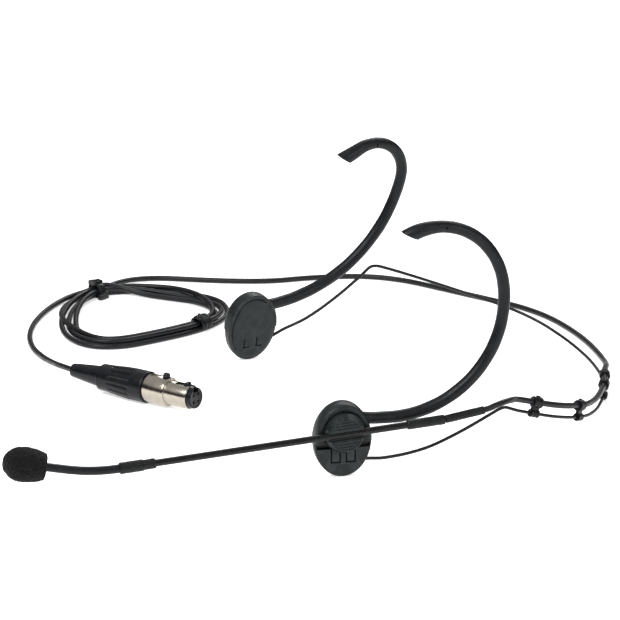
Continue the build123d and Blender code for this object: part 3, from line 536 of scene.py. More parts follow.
def cleaned(thing):
    """No doubled points and no faces or edges without size."""
    bm = bmesh.new()
    bm.from_mesh(thing.data)
    bmesh.ops.remove_doubles(bm, verts=bm.verts, dist=0.004)
    bmesh.ops.dissolve_degenerate(bm, edges=bm.edges, dist=0.004)
    bmesh.ops.recalc_face_normals(bm, faces=bm.faces)
    bm.to_mesh(thing.data)
    bm.free()
    return thing


def placed(thing, matrix=None, smooth=38):
    """From the piece's own millimetres to metres in the frame, with smooth shading."""
    scale = Matrix.Diagonal((MM, MM, MM, 1))
    thing.data.transform(scale @ matrix if matrix is not None else scale)
    thing.data.shade_smooth()
    thing.data.set_sharp_from_angle(angle=math.radians(smooth))
    return thing


def piece(thing, slot_name, body, *stands_for):
    """Paints a finished piece, hangs it on its body and hides the imported parts that it stands for."""
    thing.data.materials.clear()
    thing.data.materials.append(MATERIALS[slot_name])
    if body:
        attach(thing, body)
    if stands_for:
        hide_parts(*stands_for)
    return thing


def finished(thing, ease, matrix, smooth, slot_name, body, *stands_for):
    """Cleans a solid, rounds its edges, and then places and paints it."""
    cleaned(thing)
    eased(thing, ease)
    placed(thing, matrix, smooth)
    return piece(thing, slot_name, body, *stands_for)


def spline_curve(name, route):
    """A smooth curve with the route's points, in millimetres, as its control points."""
    data = bpy.data.curves.new(name, "CURVE")
    data.dimensions = "3D"
    spline = data.splines.new("NURBS")
    spline.points.add(len(route) - 1)
    for point, at in zip(spline.points, route):
        point.co = (*[c * MM for c in at], 1)
    spline.order_u = 3
    spline.use_endpoint_u = True
    spline.resolution_u = 8
    data.resolution_u = 8
    return bpy.data.objects.new(name, data)


def spline_points(route):
    """Points along the route's smooth curve, in millimetres."""
    bare = spline_curve("route", route)
    mesh = bpy.data.meshes.new_from_object(bare)
    points = [v.co.copy() / MM for v in mesh.vertices]
    bpy.data.meshes.remove(mesh)
    data = bare.data
    bpy.data.objects.remove(bare)
    bpy.data.curves.remove(data)
    return points


# ------------------------------------------------------------------------- temple pads


def pad_matrix(side):
    """The pad's own frame: x along the pad, y up it and z outwards from its flat face."""
    out = Vector(JOINTS[f"{side}_pad_swing"]["axis"])
    along = UP.cross(out).normalized()
    rise = out.cross(along)
    knob = Vector(JOINTS[f"{side}_knob_turn"]["pos_m"]) / MM
    origin = knob - out * GROOVE_DEPTH - rise * KNOB_HEIGHT
    turn = Matrix((along, rise, out)).transposed().to_4x4()
    return Matrix.Translation(origin) @ turn


PAD = {side: pad_matrix(side) for side in SIDES}
BACK = {"near": 1, "far": -1}
RING_STEPS = 144


def oval_reach(half, angle, lift=0.0):
    """How far the oval with these half axes is from the point (0, lift), in one direction."""
    a, b = half
    c, s = math.cos(angle), math.sin(angle)
    square = (c / a) ** 2 + (s / b) ** 2
    middle = lift * s / b**2
    rest = (lift / b) ** 2 - 1
    return (-middle + math.sqrt(middle**2 - square * rest)) / square


def oval(half):
    """For an inset, the reach of the oval with these half axes made smaller by it."""
    return lambda inset: lambda a: oval_reach((half[0] - inset, half[1] - inset), a)


def oval_ring(reach, z, lift=0.0):
    """A ring about (0, lift) whose radius is a function of the direction."""
    ring = []
    for i in range(RING_STEPS):
        angle = math.tau * i / RING_STEPS
        r = reach(angle)
        ring.append(Vector((r * math.cos(angle), lift + r * math.sin(angle), z)))
    return ring


def halved(bm, height, keep_above):
    """Cuts a solid at a height on the pad and closes the cut."""
    geometry = bm.verts[:] + bm.edges[:] + bm.faces[:]
    bmesh.ops.bisect_plane(
        bm,
        geom=geometry,
        plane_co=(0, height, 0),
        plane_no=(0, 1, 0),
        clear_inner=keep_above,
        clear_outer=not keep_above,
    )
    open_edges = [e for e in bm.edges if e.is_boundary]
    bmesh.ops.holes_fill(bm, edges=open_edges, sides=0)
    return bm


def fan(side, pivot, angle, swing, half_width, reach=18.0):
    """The flared outline through which a rod leaves the pad and swings about its pivot."""
    outline = []
    for turn in (-swing, swing):
        heading = math.radians(angle + turn)
        across = half_width if turn > 0 else -half_width
        near_end = (pivot[0] - across * math.sin(heading), pivot[1] + across * math.cos(heading))
        far_end = (near_end[0] + reach * math.cos(heading), near_end[1] + reach * math.sin(heading))
        outline.append((near_end, far_end))
    (low_in, low_out), (high_in, high_out) = outline
    points = [low_in, low_out, high_out, high_in]
    return [(BACK[side] * x, y) for x, y in points]


def upper_shell(side):
    """The domed cover: a broad rounded rim that falls into the recess round the knob."""
    recess = KNOB_RADIUS + 0.16
    outer = lambda a: oval_reach(PAD_HALF, a, KNOB_HEIGHT)
    rings = []

    def between(share, z):
        reach = lambda a: outer(a) + (recess - outer(a)) * share
        rings.append(oval_ring(reach, z, KNOB_HEIGHT))

    between(0.05, SKIRT)
    between(0.0, SKIRT + 0.2)
    between(0.0, 2.2)
    for step in range(11):
        turn = math.radians(9 * step)
        height = RIM_SHOULDER + (RIM_TOP - RIM_SHOULDER) * math.sin(turn)
        between(0.5 * (1 - math.cos(turn)), height)
    for step in range(1, 7):
        share = step / 6
        between(0.5 + 0.5 * share, RIM_TOP - 0.25 * share**2)
    floor = ((recess, FLOOR_TOP + 0.1), (recess - 0.15, FLOOR_TOP), (2.1, FLOOR_TOP), (2.1, FLOOR_UNDER))
    for radius, z in floor:
        rings.append(oval_ring(lambda a: radius, z, KNOB_HEIGHT))
    inner = tuple(h - RIM_WALL for h in PAD_HALF)
    for z in (FLOOR_UNDER, SKIRT):
        rings.append(oval_ring(lambda a: oval_reach(inner, a, KNOB_HEIGHT), z, KNOB_HEIGHT))
    bm = bmesh.new()
    ring_faces(bm, rings, closed_along=True)
    bmesh.ops.recalc_face_normals(bm, faces=bm.faces)
    shell = to_object(halved(bm, SEAM_HEIGHT, True), f"{side}_pad_cover")
    mouth = fan(side, HOOK_PIVOT, HOOK_ANGLE[side], HOOK_MOUTH_SWING, HOOK_RADIUS + MOUTH_GAP)
    high = PIVOT_DEPTH + HOOK_RADIUS + MOUTH_GAP
    combined(shell, [prism(mouth, PLATE_THICKNESS - 0.5, high)])
    return finished(shell, 0.14, PAD[side], 38, "pad_plastic", f"{side}_pad", f"{side}_upper_shell")


def lower_clamp(side):
    """The crescent that clamps the wire: a recess with a thin lip at each end, two spring tabs."""
    inset_by = oval(PAD_HALF)
    rings = [
        oval_ring(inset_by(0.15), PLATE_THICKNESS),
        oval_ring(inset_by(0.0), PLATE_THICKNESS + 0.15),
    ]
    edge = 0.9
    for step in range(8):
        turn = math.radians(90 * step / 7)
        inset, rise = edge * (1 - math.cos(turn)), edge * math.sin(turn)
        rings.append(oval_ring(inset_by(inset), CLAMP_TOP - edge + rise))
    rings.append(oval_ring(inset_by(4.0), CLAMP_TOP))
    bm = capped_rings(rings)
    clamp = to_object(halved(bm, SEAM_HEIGHT - SEAM_GAP, False), f"{side}_wire_clamp")
    lip = 0.55
    recess = [p for p in oval_ring(inset_by(lip), 0.0) if p.y > CLAMP_STEP_HEIGHT and p.y < 3]
    right = sorted([(p.x, p.y) for p in recess if p.x > 0], key=lambda p: p[1])
    left = sorted([(p.x, p.y) for p in recess if p.x < 0], key=lambda p: -p[1])
    tools = [prism(right + left, CLAMP_STEP, 9.0)]
    slot_low = CLAMP_TOP - 1.3
    for direction in (-1, 1):
        x = direction * TAB_OFFSET
        half, foot, top = TAB_WIDTH / 2, TAB_BOTTOM, CLAMP_STEP_HEIGHT + 1
        wide = half + TAB_SLOT
        outline = [(x - wide, top), (x - wide, foot - TAB_SLOT)]
        outline += [(x + wide, foot - TAB_SLOT), (x + wide, top)]
        outline += [(x + half, top), (x + half, foot), (x - half, foot), (x - half, top)]
        tools.append(prism(outline, slot_low, 9.0))
    mouth = fan(side, WIRE_PIVOT, WIRE_ANGLE[side], WIRE_MOUTH_SWING, WIRE_RADIUS + MOUTH_GAP)
    slack = WIRE_RADIUS + WIRE_MOUTH_GAP
    tools.append(prism(mouth, PIVOT_DEPTH - slack, PIVOT_DEPTH + slack))
    combined(clamp, tools)
    return finished(clamp, 0.1, PAD[side], 38, "pad_plastic", f"{side}_pad", f"{side}_lower_clamp")


def inner_plate(side):
    """The flat face on the temple: a stepped edge and two L-shaped slots for the tabs."""
    inset_by = oval(PLATE_HALF)
    rings = [oval_ring(inset_by(3.0), 0.0), oval_ring(inset_by(0.55), 0.0)]
    for step in range(1, 6):
        turn = math.radians(18 * step)
        edge = inset_by(0.5 - 0.5 * math.sin(turn))
        rings.append(oval_ring(edge, 0.35 * (1 - math.cos(turn))))
    rings += [oval_ring(inset_by(inset), PLATE_THICKNESS) for inset in (0.0, 3.0)]
    plate = to_object(capped_rings(rings), f"{side}_temple_plate")
    tools = []
    for direction in (-1, 1):
        x, front = direction * TAB_OFFSET, -BACK[side]
        corner = x + front * TAB_WIDTH / 2
        other = x - front * TAB_WIDTH / 2
        inside = corner - front * TAB_SLOT
        low, high = TAB_BOTTOM, TAB_BOTTOM + 1.5 * TAB_WIDTH
        outline = [(corner, high), (corner, low), (other, low), (other, low + TAB_SLOT)]
        outline += [(inside, low + TAB_SLOT), (inside, high)]
        tools.append(prism(outline, -0.5, 0.55))
    combined(plate, tools)
    return finished(plate, 0.07, PAD[side], 38, "pad_plastic", f"{side}_pad", f"{side}_inner_plate")


def knob(side, turn):
    """The clamping knob: a wide bevel round a ribbed face, cut across by the boom's groove."""
    face = KNOB_TOP
    profile = [
        (2.0, 3.9),
        (2.0, KNOB_BASE),
        (KNOB_RADIUS - 0.25, KNOB_BASE),
        (KNOB_RADIUS, KNOB_BASE + 0.25),
        (KNOB_RADIUS, 6.5),
        (KNOB_RADIUS - 0.1, 6.8),
        (5.7, 8.7),
        (5.35, 8.85),
        (5.15, 8.8),
        (5.05, 8.62),
        (0, 8.62),
    ]
    body = to_object(lathe([(0, 3.9), *profile], 96), f"{side}_ribbed_knob")
    ribs = []
    pitch, width = 0.98, 0.46
    for direction in (-1, 1):
        for number in range(4):
            y = direction * (2.1 + pitch * number) - 0.2
            half = math.sqrt(max(5.15**2 - (abs(y) + width / 2) ** 2, 0.1))
            outline = [(y - width / 2, 8.4), (y - width / 2 + 0.08, 8.92), (y - 0.08, face)]
            outline += [(y + 0.08, face), (y + width / 2 - 0.08, 8.92), (y + width / 2, 8.4)]
            ends = [[Vector((x, v, z)) for v, z in outline] for x in (-half, half)]
            ribs.append(capped_rings(ends))
    combined(body, ribs, "UNION")
    radius = ROD_RADIUS + 0.06
    channel = [bar((-12, 0, GROOVE_DEPTH), (12, 0, GROOVE_DEPTH), radius, 32)]
    channel.append(block((-12, -1.75, GROOVE_DEPTH), (12, 1.0, 12)))
    combined(body, channel)
    spin = Matrix.Translation((0, KNOB_HEIGHT, 0)) @ Matrix.Rotation(math.radians(turn), 4, "Z")
    return finished(body, 0.09, PAD[side] @ spin, 38, "knob_plastic", f"{side}_knob", f"{side}_knob")


# --------------------------------------------------------------------------- ear hooks


def hook_points(side):
    """Points along the hook's middle line in the pad's frame: a short run, then arcs."""
    angle = math.radians(HOOK_ANGLE[side])
    at = Vector((*HOOK_PIVOT, PIVOT_DEPTH))
    heading = Vector((math.cos(angle), math.sin(angle), 0))
    points = [at + heading * HOOK_START, at + heading * (HOOK_START + HOOK_KNEE) / 2]
    at = at + heading * HOOK_KNEE
    points.append(at)
    for length, turn in HOOK_BENDS[side]:
        count = max(2, round(length / HOOK_STEP))
        for _ in range(count):
            angle += math.radians(turn) / count / 2
            at = at + Vector((math.cos(angle), math.sin(angle), 0)) * (length / count)
            angle += math.radians(turn) / count / 2
            points.append(at)
    points.append(at + Vector((math.cos(angle), math.sin(angle), 0)) * HOOK_TIP_EXTRA[side])
    return [Vector((BACK[side] * p.x, p.y, p.z)) for p in points]


def hook_sleeve(side):
    """The soft tube: a faint mould line each side, a slightly uneven skin and a slant tip."""
    points = hook_points(side)
    count = len(points) - 1

    def radius(share, angle):
        to_tip = (1 - share) * count * HOOK_STEP
        flare = max(0.0, 1 - to_tip / HOOK_FLARE[0])
        offs = [math.remainder(angle - at, math.tau) for at in (0, math.pi)]
        line = 0.06 * sum(math.exp(-((off / 0.09) ** 2)) for off in offs)
        spot = Vector((share * 23, math.cos(angle), math.sin(angle) + 5 * BACK[side]))
        wave = 0.035 * noise.noise(spot)
        return HOOK_RADIUS * (1 + wave + HOOK_FLARE[1] * flare * flare * (3 - 2 * flare)) + line

    tip = (points[-1] - points[-2]).normalized()
    outward = Vector((-tip.y, tip.x, 0)) * -BACK[side]
    slant = math.tan(math.radians(HOOK_TIP_CUT[side]))
    sleeve = to_object(tube(points, radius, 40, reference=UP), f"{side}_hook_tube")
    normal = (tip - outward * slant).normalized()
    low = points[-1] - tip * (HOOK_RADIUS * slant)
    turn = normal.to_track_quat("Z", "Y").to_matrix().to_4x4()
    tool = block((-6, -6, 0), (6, 6, 8))
    bmesh.ops.transform(tool, verts=tool.verts, matrix=Matrix.Translation(low) @ turn)
    dimple = points[-1 - round(HOOK_DIMPLE / HOOK_STEP)]
    face = Vector((0, 0, HOOK_RADIUS if side == "near" else -HOOK_RADIUS))
    pin_hole = bar(dimple + face * 0.55, dimple + face * 1.4, 0.38, 16)
    combined(sleeve, [tool, bar(low - tip * 3.2, points[-1] + tip * 3, HOOK_BORE, 20), pin_hole])
    cleaned(sleeve)
    eased(sleeve, 0.38, 3, 50)
    placed(sleeve, PAD[side])
    return piece(sleeve, "hook_rubber", f"{side}_hook", f"{side}_hook_sleeve")


# -------------------------------------------------------------------------------- boom

KNOB_MIDDLE = Vector(JOINTS["near_knob_turn"]["pos_m"]) / MM
BOOM_BACK = Vector(JOINTS["boom_slide"]["axis"]).normalized()
FRONT_SLEEVE = (-74.4, -66.5, -62.6)
REAR_SLEEVE = (20.3, 33.0, 46.0)
NECK_REAR = -69.1
NECK_LENGTH = 25.3
NECK_BEND = 17.0
NECK_TURN = 16.0
CABLE_SLEEVE_RISE = 9.4


def on_boom(distance):
    return KNOB_MIDDLE + BOOM_BACK * distance


def shrunk(name, start, end, radius, wall, body, node, seed, tapers=(0.3, 0.3)):
    """A heat-shrink sleeve: rolled ends, shallow wrinkles and a skin that follows what it grips."""
    start, end = Vector(start), Vector(end)
    length = (end - start).length
    count = max(12, round(length / 0.25))
    points = [start.lerp(end, i / count) for i in range(count + 1)]

    def outside(share, angle):
        at = share * length
        edge = min(at / tapers[0], (length - at) / tapers[1], 1.0)
        round_edge = math.sqrt(max(0.0, 1 - (1 - edge) ** 2))
        spot = Vector((at * 0.8, math.cos(angle) * 1.6, math.sin(angle) * 1.6 + seed))
        ridge = 0.05 * noise.noise(spot) + 0.03 * noise.noise(spot * 3.1)
        return radius + wall * (0.3 + 0.7 * round_edge) + ridge

    sleeve = to_object(tube(points, outside, 36), name)
    placed(sleeve, smooth=50)
    return piece(sleeve, "heat_shrink", body, node)


def lead_sleeve_line():
    """Where the lead leaves the boom's rear sleeve, and which way it points there."""
    rise = math.radians(CABLE_SLEEVE_RISE)
    heading = Vector((0, math.cos(rise), math.sin(rise)))
    return on_boom(REAR_SLEEVE[1]) + BOOM_BACK * SLEEVE_WALL, heading


def make_sleeves():
    """Three stepped sleeves on the boom and the thinner one in which the lead comes out."""
    front, step, rear = (on_boom(d) for d in FRONT_SLEEVE)
    under = on_boom(FRONT_SLEEVE[1] - 0.2)
    shrunk("front_shrink", front, step, NECK_RADIUS, 0.5, "boom", "front_sleeve", 1.0)
    node, tapers = "front_under_sleeve", (0.3, 0.6)
    shrunk("front_under_shrink", under, rear, NECK_RADIUS, 0.28, "boom", node, 7.0, tapers)
    front, step = (on_boom(d) for d in REAR_SLEEVE[:2])
    shrunk("rear_shrink", front, step, ROD_RADIUS, 0.45, "boom", "rear_sleeve", 13.0, (0.5, 0.3))
    start, heading = lead_sleeve_line()
    end = start + heading * (REAR_SLEEVE[2] - REAR_SLEEVE[1])
    start = start - heading * 0.3
    tapers = (0.3, 0.5)
    shrunk("lead_shrink", start, end, CABLE_RADIUS, 0.35, "boom", "cable_sleeve", 19.0, tapers)


def neck_points():
    """The neck's middle line: straight in its sleeve, one bend upwards, then straight."""
    at, heading = on_boom(NECK_REAR), -BOOM_BACK
    points = [at]
    for length, turn in (
        (NECK_REAR - FRONT_SLEEVE[0], 0),
        (NECK_BEND, NECK_TURN),
        (NECK_LENGTH - NECK_BEND, 0),
    ):
        count = max(4, round(length / NECK_STEP))
        half = Matrix.Rotation(-math.radians(turn) / count / 2, 3, "X")
        for _ in range(count):
            heading = half @ heading
            at = at + heading * length / count
            heading = half @ heading
            points.append(at)
    return points, heading


NECK_STEP = 0.4
NECK_POINTS, HEAD_HEADING = neck_points()
HEAD_START = NECK_POINTS[-1]


def gooseneck():
    """The gooseneck in two lengths, split between its two joints; neither length is hung on a body."""
    low = Vector(JOINTS["gooseneck_raise"]["pos_m"]) / MM
    high = Vector(JOINTS["gooseneck_turn_in"]["pos_m"]) / MM
    nearest = lambda p: min(range(len(NECK_POINTS)), key=lambda i: (NECK_POINTS[i] - p).length)
    split = (nearest(low) + nearest(high)) // 2

    def wound(offset):
        def radius(share, angle):
            spot = Vector((offset + share * 12, math.cos(angle), math.sin(angle)))
            return NECK_RADIUS + 0.02 * noise.noise(spot * 2)

        return radius

    for name, points, bodies, middle in (
        ("gooseneck_rear", NECK_POINTS[: split + 1], ("boom", "gooseneck"), nearest(low)),
        ("gooseneck_front", NECK_POINTS[split:], ("gooseneck", "mic_head"), nearest(high)),
    ):
        thing = to_object(tube(points, wound(0 if name.endswith("rear") else 12), 32), name)
        inner = points[1:] if name.endswith("rear") else points[:-1]
        core = to_object(tube(inner, lambda share, angle: NECK_CORE_RADIUS, 16), f"{name}_core")
        for part, slot, node in (
            (thing, "neck_sleeve", "gooseneck"),
            (core, SLOT_OF["gooseneck_core"], "gooseneck_core"),
        ):
            placed(part, smooth=50)
            piece(part, slot, None, node)
            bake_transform(part)


def windscreen():
    """The foam head: flattened behind, with a cut collar edge and an open-cell skin."""
    length, widest, back, back_radius, girth = 13.4, 5.6, 1.0, 4.3, 5.6
    outline = []
    count = 90
    for i in range(count + 1):
        share = i / count
        turn = math.pi / 2 * share
        x = girth + (length - back - girth) * math.sin(turn)
        outline.append((widest * math.cos(turn) ** 0.88, x))
    rear = []
    for i in range(1, 31):
        share = i / 30
        x = girth - (girth + back) * share
        rear.append((widest - (widest - back_radius) * share**2.2, x))
    outline = [(0, length - back)] + sorted(outline, key=lambda p: -p[1])[1:] + rear
    rim_end = outline[-1]
    face = [(rim_end[0] - 0.25, -back - 0.12), (rim_end[0] - 0.9, -back - 0.05)]
    face += [(r, -back + 0.1) for r in (2.9, 2.2, NECK_RADIUS + 0.15)]
    bore = [(NECK_RADIUS + 0.15, 0.0), (2.55, 0.05), (2.55, 9.0), (0, 9.0)]
    foam = to_object(lathe(outline + face + bore, 180), "foam_windscreen")
    for vertex in foam.data.vertices:
        co = vertex.co
        radius = math.hypot(co.x, co.y)
        if radius < 2.9 and co.z < length - back - 1.5:
            continue
        normal = Vector((co.x, co.y, (co.z - girth) * 0.7)).normalized()
        lump = 0.16 * noise.noise(co * 0.35) + 0.10 * noise.noise(co * 0.9)
        cells = noise.voronoi(co * 1.25, distance_metric="DISTANCE", exponent=2.5)[0]
        pore = -0.34 * max(0.0, 0.5 - cells[0]) * 2
        ragged = 0.12 * noise.noise(co * 2.6)
        vertex.co = co + normal * (lump + pore + ragged)
    turn = HEAD_HEADING.to_track_quat("Z", "Y").to_matrix().to_4x4()
    placed(foam, Matrix.Translation(HEAD_START) @ turn, smooth=180)
    piece(foam, "windscreen_foam", "mic_head", "windscreen")
    return foam


# ------------------------------------------------------------------- clips, cable, ties


def raised(point):
    return Vector(point) + UP * CLIP_RISE


def middle(a, b):
    return (Vector(a) + Vector(b)) / 2


FIRST_CLIP = middle(raised(NECKBAND[0]), raised(NECKBAND[1]))
LAST_CLIP = middle(raised(NECKBAND[6]), raised(NECKBAND[7]))


def axis_matrix(origin, heading, above=UP):
    """A frame at origin with z along heading and y as near above as it can be."""
    z = Vector(heading).normalized()
    x = Vector(above).cross(z).normalized()
    return Matrix.Translation(origin) @ Matrix((x, z.cross(x), z)).transposed().to_4x4()


def clip_ring(radius, inner, length):
    """A ring with a raised bead at each end and one round its middle."""
    half = length / 2
    bead = 0.14
    profile = [(inner, -half), (radius - 0.1, -half)]
    steps = 28
    for i in range(steps + 1):
        z = -half + length * i / steps
        wave = max(
            math.exp(-(((z + half - 0.35) / 0.3) ** 2)),
            math.exp(-(((z - half + 0.35) / 0.3) ** 2)),
            0.8 * math.exp(-((z / 0.28) ** 2)),
        )
        profile.append((radius + bead * wave, z * 0.985))
    profile += [(radius - 0.1, half), (inner, half)]
    return lathe(profile, 40)


def cable_clip(number, run):
    """A figure-of-eight clip: a ring on the wire, one on the cable, a web and a small lug."""
    a, b = Vector(NECKBAND[run]), Vector(NECKBAND[run + 1])
    matrix = axis_matrix((a + b) / 2, b - a)
    rise = (matrix.inverted() @ ((a + b) / 2 + UP * CLIP_RISE)).y
    cable_ring = clip_ring(CABLE_RADIUS + 0.75, CABLE_RADIUS + 0.03, CLIP_LENGTH)
    bmesh.ops.translate(cable_ring, verts=cable_ring.verts, vec=(0, rise, 0))
    wire_ring = clip_ring(WIRE_RADIUS + 0.7, WIRE_RADIUS + 0.03, CLIP_LENGTH)
    clip = to_object(wire_ring, f"wire_clip_{number}")
    web = block((-0.55, WIRE_RADIUS + 0.25, -1.35), (0.55, rise - CABLE_RADIUS - 0.25, 1.35))
    lug = block((-0.45, rise + CABLE_RADIUS + 0.3, -0.6), (0.45, rise + CABLE_RADIUS + 1.25, 0.6))
    combined(clip, [cable_ring, web, lug], "UNION")
    return finished(clip, 0.12, matrix, 38, "clip_plastic", "neckband", f"cable_clip_{number}")


def clipped_cable():
    """The cable from the first clip to the last, above the neckband wire."""
    route = [FIRST_CLIP, *[raised(p) for p in NECKBAND[1:7]], LAST_CLIP]
    points = spline_points([tuple(p) for p in route])
    cable = to_object(tube(points, CABLE_RADIUS, 24), "clipped_cable_length")
    placed(cable, smooth=60)
    return piece(cable, "cable_jacket", "neckband", "clipped_cable")


def boom_lead():
    """The short lead from the boom to the first clip, in three lengths, none of them hung on a body."""
    start, heading = lead_sleeve_line()
    exit_point = start + heading * (REAR_SLEEVE[2] - REAR_SLEEVE[1])
    route = [exit_point - heading * 1.5, exit_point + heading * 1.5]
    route += [Vector(p) for p in LEAD] + [raised(NECKBAND[0]), FIRST_CLIP]
    points = spline_points([tuple(p) for p in route])
    share = len(points) // 3
    for name, part, bodies in (
        ("boom_lead_front", points[: share + 1], ("boom", "near_knob")),
        ("boom_lead_middle", points[share : 2 * share + 1], ("near_knob", "near_pad")),
        ("boom_lead_rear", points[2 * share :], ("near_pad", "neckband")),
    ):
        length = to_object(tube(part, CABLE_RADIUS, 24), name)
        placed(length, smooth=60)
        piece(length, "cable_jacket", None, "boom_lead")
        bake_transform(length)


def blended(within, levels):
    """The level at a share of a turn: level 0, then 1 past the left end, then 2 past the right."""
    left = min(max((within - 0.14) / 0.24, 0), 1)
    right = min(max((within - 0.68) / 0.26, 0), 1)
    smooth = [t * t * (3 - 2 * t) for t in (left, right)]
    level = levels[0] + (levels[1] - levels[0]) * smooth[0] + (levels[2] - levels[1]) * smooth[1]
    return level, math.sin(math.pi * left), math.sin(math.pi * right)


def coil_line():
    """The coil's turns: a bundle in the ties, fanned out on the ground between them.
    The first turn crosses inside the others at the left end and back over them at the right."""
    count = len(COIL)
    points = []
    centre = sum((Vector((*p, 0)) for p, _ in COIL), Vector()) / count
    for step in range(count * COIL_TURNS + 1):
        turn, at = divmod(step, count)
        here, loose = COIL[at]
        before, after = COIL[at - 1][0], COIL[(at + 1) % count][0]
        along = (Vector((*after, 0)) - Vector((*before, 0))).normalized()
        outwards = along.cross(UP)
        if outwards.dot(Vector((*here, 0)) - centre) < 0:
            outwards = -outwards
        levels = (0, 3, 1) if turn == 0 else (turn, turn - 1, turn + 1)
        slot, left, right = blended(at / count, levels)
        spread = BUNDLE_STEP + (FAN_STEP - BUNDLE_STEP) * loose
        lateral = (1.5 - slot) * spread
        tilt = 0.5 - 0.5 * math.cos(math.pi * slot)
        height = CABLE_RADIUS + 0.05 + BUNDLE_RISE * tilt * (1 - 0.7 * loose)
        if turn == 0:
            height = max(height, CABLE_RADIUS + 0.05 + 2.2 * max(left, right))
        if turn == COIL_TURNS:
            lateral, height = 0.3, CABLE_RADIUS + 0.05 + 2 * BUNDLE_RISE
        points.append(Vector((*here, 0)) + outwards * lateral + UP * height)
    return [tuple(p) for p in points]


def free_cable():
    """The free cable as one smooth curve: behind the headset, round the coil, to the connector."""
    route = [tuple(LAST_CLIP), tuple(raised(NECKBAND[7])), *TRAILING, *coil_line()]
    route += [*CONNECTOR_LEAD, tuple(CONNECTOR_START)]
    cable = spline_curve("free_cable", route)
    bpy.context.scene.collection.objects.link(cable)
    cable.data.bevel_depth = CABLE_RADIUS * MM
    cable.data.bevel_resolution = 5
    cable.data.use_fill_caps = True
    cable.data.materials.append(MATERIALS["cable_jacket"])
    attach(cable, "neckband")
    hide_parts("trailing_cable", "cable_coil", "connector_cable")
    return cable


def bundle_frame(first, second):
    """A frame in the middle of one of the coil's runs, z along the run and y up."""
    a, b = Vector((*COIL[first][0], 0)), Vector((*COIL[second][0], 0))
    return axis_matrix((a + b) / 2, b - a)


def band_outline(half_width, top, round_by, steps=10):
    """A flattened round outline standing on the ground, as (x, y) points."""
    points = []
    for quarter, (cx, cy) in enumerate(
        (
            (half_width - round_by, top - round_by),
            (round_by - half_width, top - round_by),
            (round_by - half_width, round_by),
            (half_width - round_by, round_by),
        )
    ):
        for i in range(steps + 1):
            angle = math.pi / 2 * (quarter + i / steps)
            points.append((cx + round_by * math.cos(angle), cy + round_by * math.sin(angle)))
    return points


def band(half_width, top, round_by, wall, low, high):
    """A closed band of a flattened round section, with softly rounded edges."""
    inner = band_outline(half_width, top, round_by)
    outer = band_outline(half_width + wall, top + wall, round_by + wall)
    outer = [(x, max(y, 0.02)) for x, y in outer]
    inner = [(x, max(y, 0.05)) for x, y in inner]
    rings = []
    for outline, z in ((inner, low), (outer, low + 0.12), (outer, high - 0.12), (inner, high)):
        rings.append([Vector((x, y, z)) for x, y in outline])
    bm = bmesh.new()
    ring_faces(bm, rings, closed_along=True)
    bmesh.ops.recalc_face_normals(bm, faces=bm.faces)
    return bm


def clip_tie():
    """The tie at the coil's end: a ribbed strap, a square head above and its tail below."""
    matrix = bundle_frame(0, 1)
    strap = to_object(band(3.0, 4.9, 1.9, 0.55, -1.5, 1.5), "cable_tie_strap")
    parts = [
        block((-1.5, 4.7, -1.7), (1.3, 6.4, 1.7)),
        block((-3.9, 4.0, -1.1), (-1.2, 5.7, 1.1)),
        block((2.9, 0.25, -1.7), (5.0, 2.7, 1.3)),
        block((4.4, 0.45, 0.4), (6.0, 2.2, 3.0)),
    ]
    combined(strap, parts, "UNION")
    slots = [block((-0.7, 5.9, -0.9), (0.5, 7.0, 0.9)), block((4.0, 1.6, -0.8), (4.6, 3.0, 0.5))]
    combined(strap, slots)
    return finished(strap, 0.16, matrix, 38, "tie_plastic", "neckband", "coil_clip_tie")


def twist_tie():
    """The twist tie: a flat wire wound five times round the bundle, its ends twisted together."""
    matrix = bundle_frame(8, 9)
    turns, per_turn = 5, 28
    points = []
    for i in range(turns * per_turn + 1):
        share = i / (turns * per_turn)
        angle = math.tau * turns * share + math.pi / 2
        wobble = 0.18 * math.sin(7 * angle / turns + 1)
        x = (3.15 + wobble) * math.cos(angle)
        y = 2.85 + (2.15 + wobble) * math.sin(angle)
        points.append(Vector((x, y, -2.6 + 5.2 * share)))
    winding = tube(points, 0.55, 14)
    parts = [winding]
    for phase in (0, math.pi):
        twist = []
        for i in range(40):
            share = i / 39
            angle = phase + math.tau * 2.5 * share
            x = 0.6 - 3.4 * share + 0.42 * math.cos(angle)
            y = 5.3 + 0.9 * math.sin(math.pi * share * 0.8) + 0.42 * math.sin(angle)
            twist.append(Vector((x, y, -0.4 - 4.2 * share)))
        parts.append(tube(twist, 0.42, 12))
    tie = to_object(joined(*parts), "twist_tie_winding")
    placed(tie, matrix, smooth=60)
    return piece(tie, "tie_plastic", "neckband", "coil_twist_tie")


# --------------------------------------------------------------------------- connector

# The plug's sizes along its axis are written 7 % short and stretched together
STRETCH = 1.0734
BUTTON_AT = 38.6
LATCH_PIN_AT = 35.6
LATCH_SLOT_HALF = 1.35
ALONG = axis_matrix(CONNECTOR_START, CONNECTOR_HEADING) @ Matrix.Diagonal((1, 1, STRETCH, 1))


def connector_boot():
    """The rubber strain relief: a rolled mouth, a slow taper and one moulded dimple."""
    profile = [(1.02, 0.15), (1.5, 0.0), (1.95, 0.05), (2.3, 0.35), (2.42, 0.9)]
    for i in range(1, 15):
        share = i / 14
        profile.append((2.42 + 1.28 * share**0.9, 0.9 + 11.5 * share))
    profile += [(3.7, 13.9), (1.02, 13.9)]
    boot = to_object(lathe(profile, 72), "rubber_boot")
    dimple = bar((0.9, 2.2, 6.6), (1.9, 4.4, 6.6), 0.42, 20)
    combined(boot, [dimple])
    return finished(boot, 0.1, ALONG, 45, "connector_plastic", "neckband", "connector_boot")


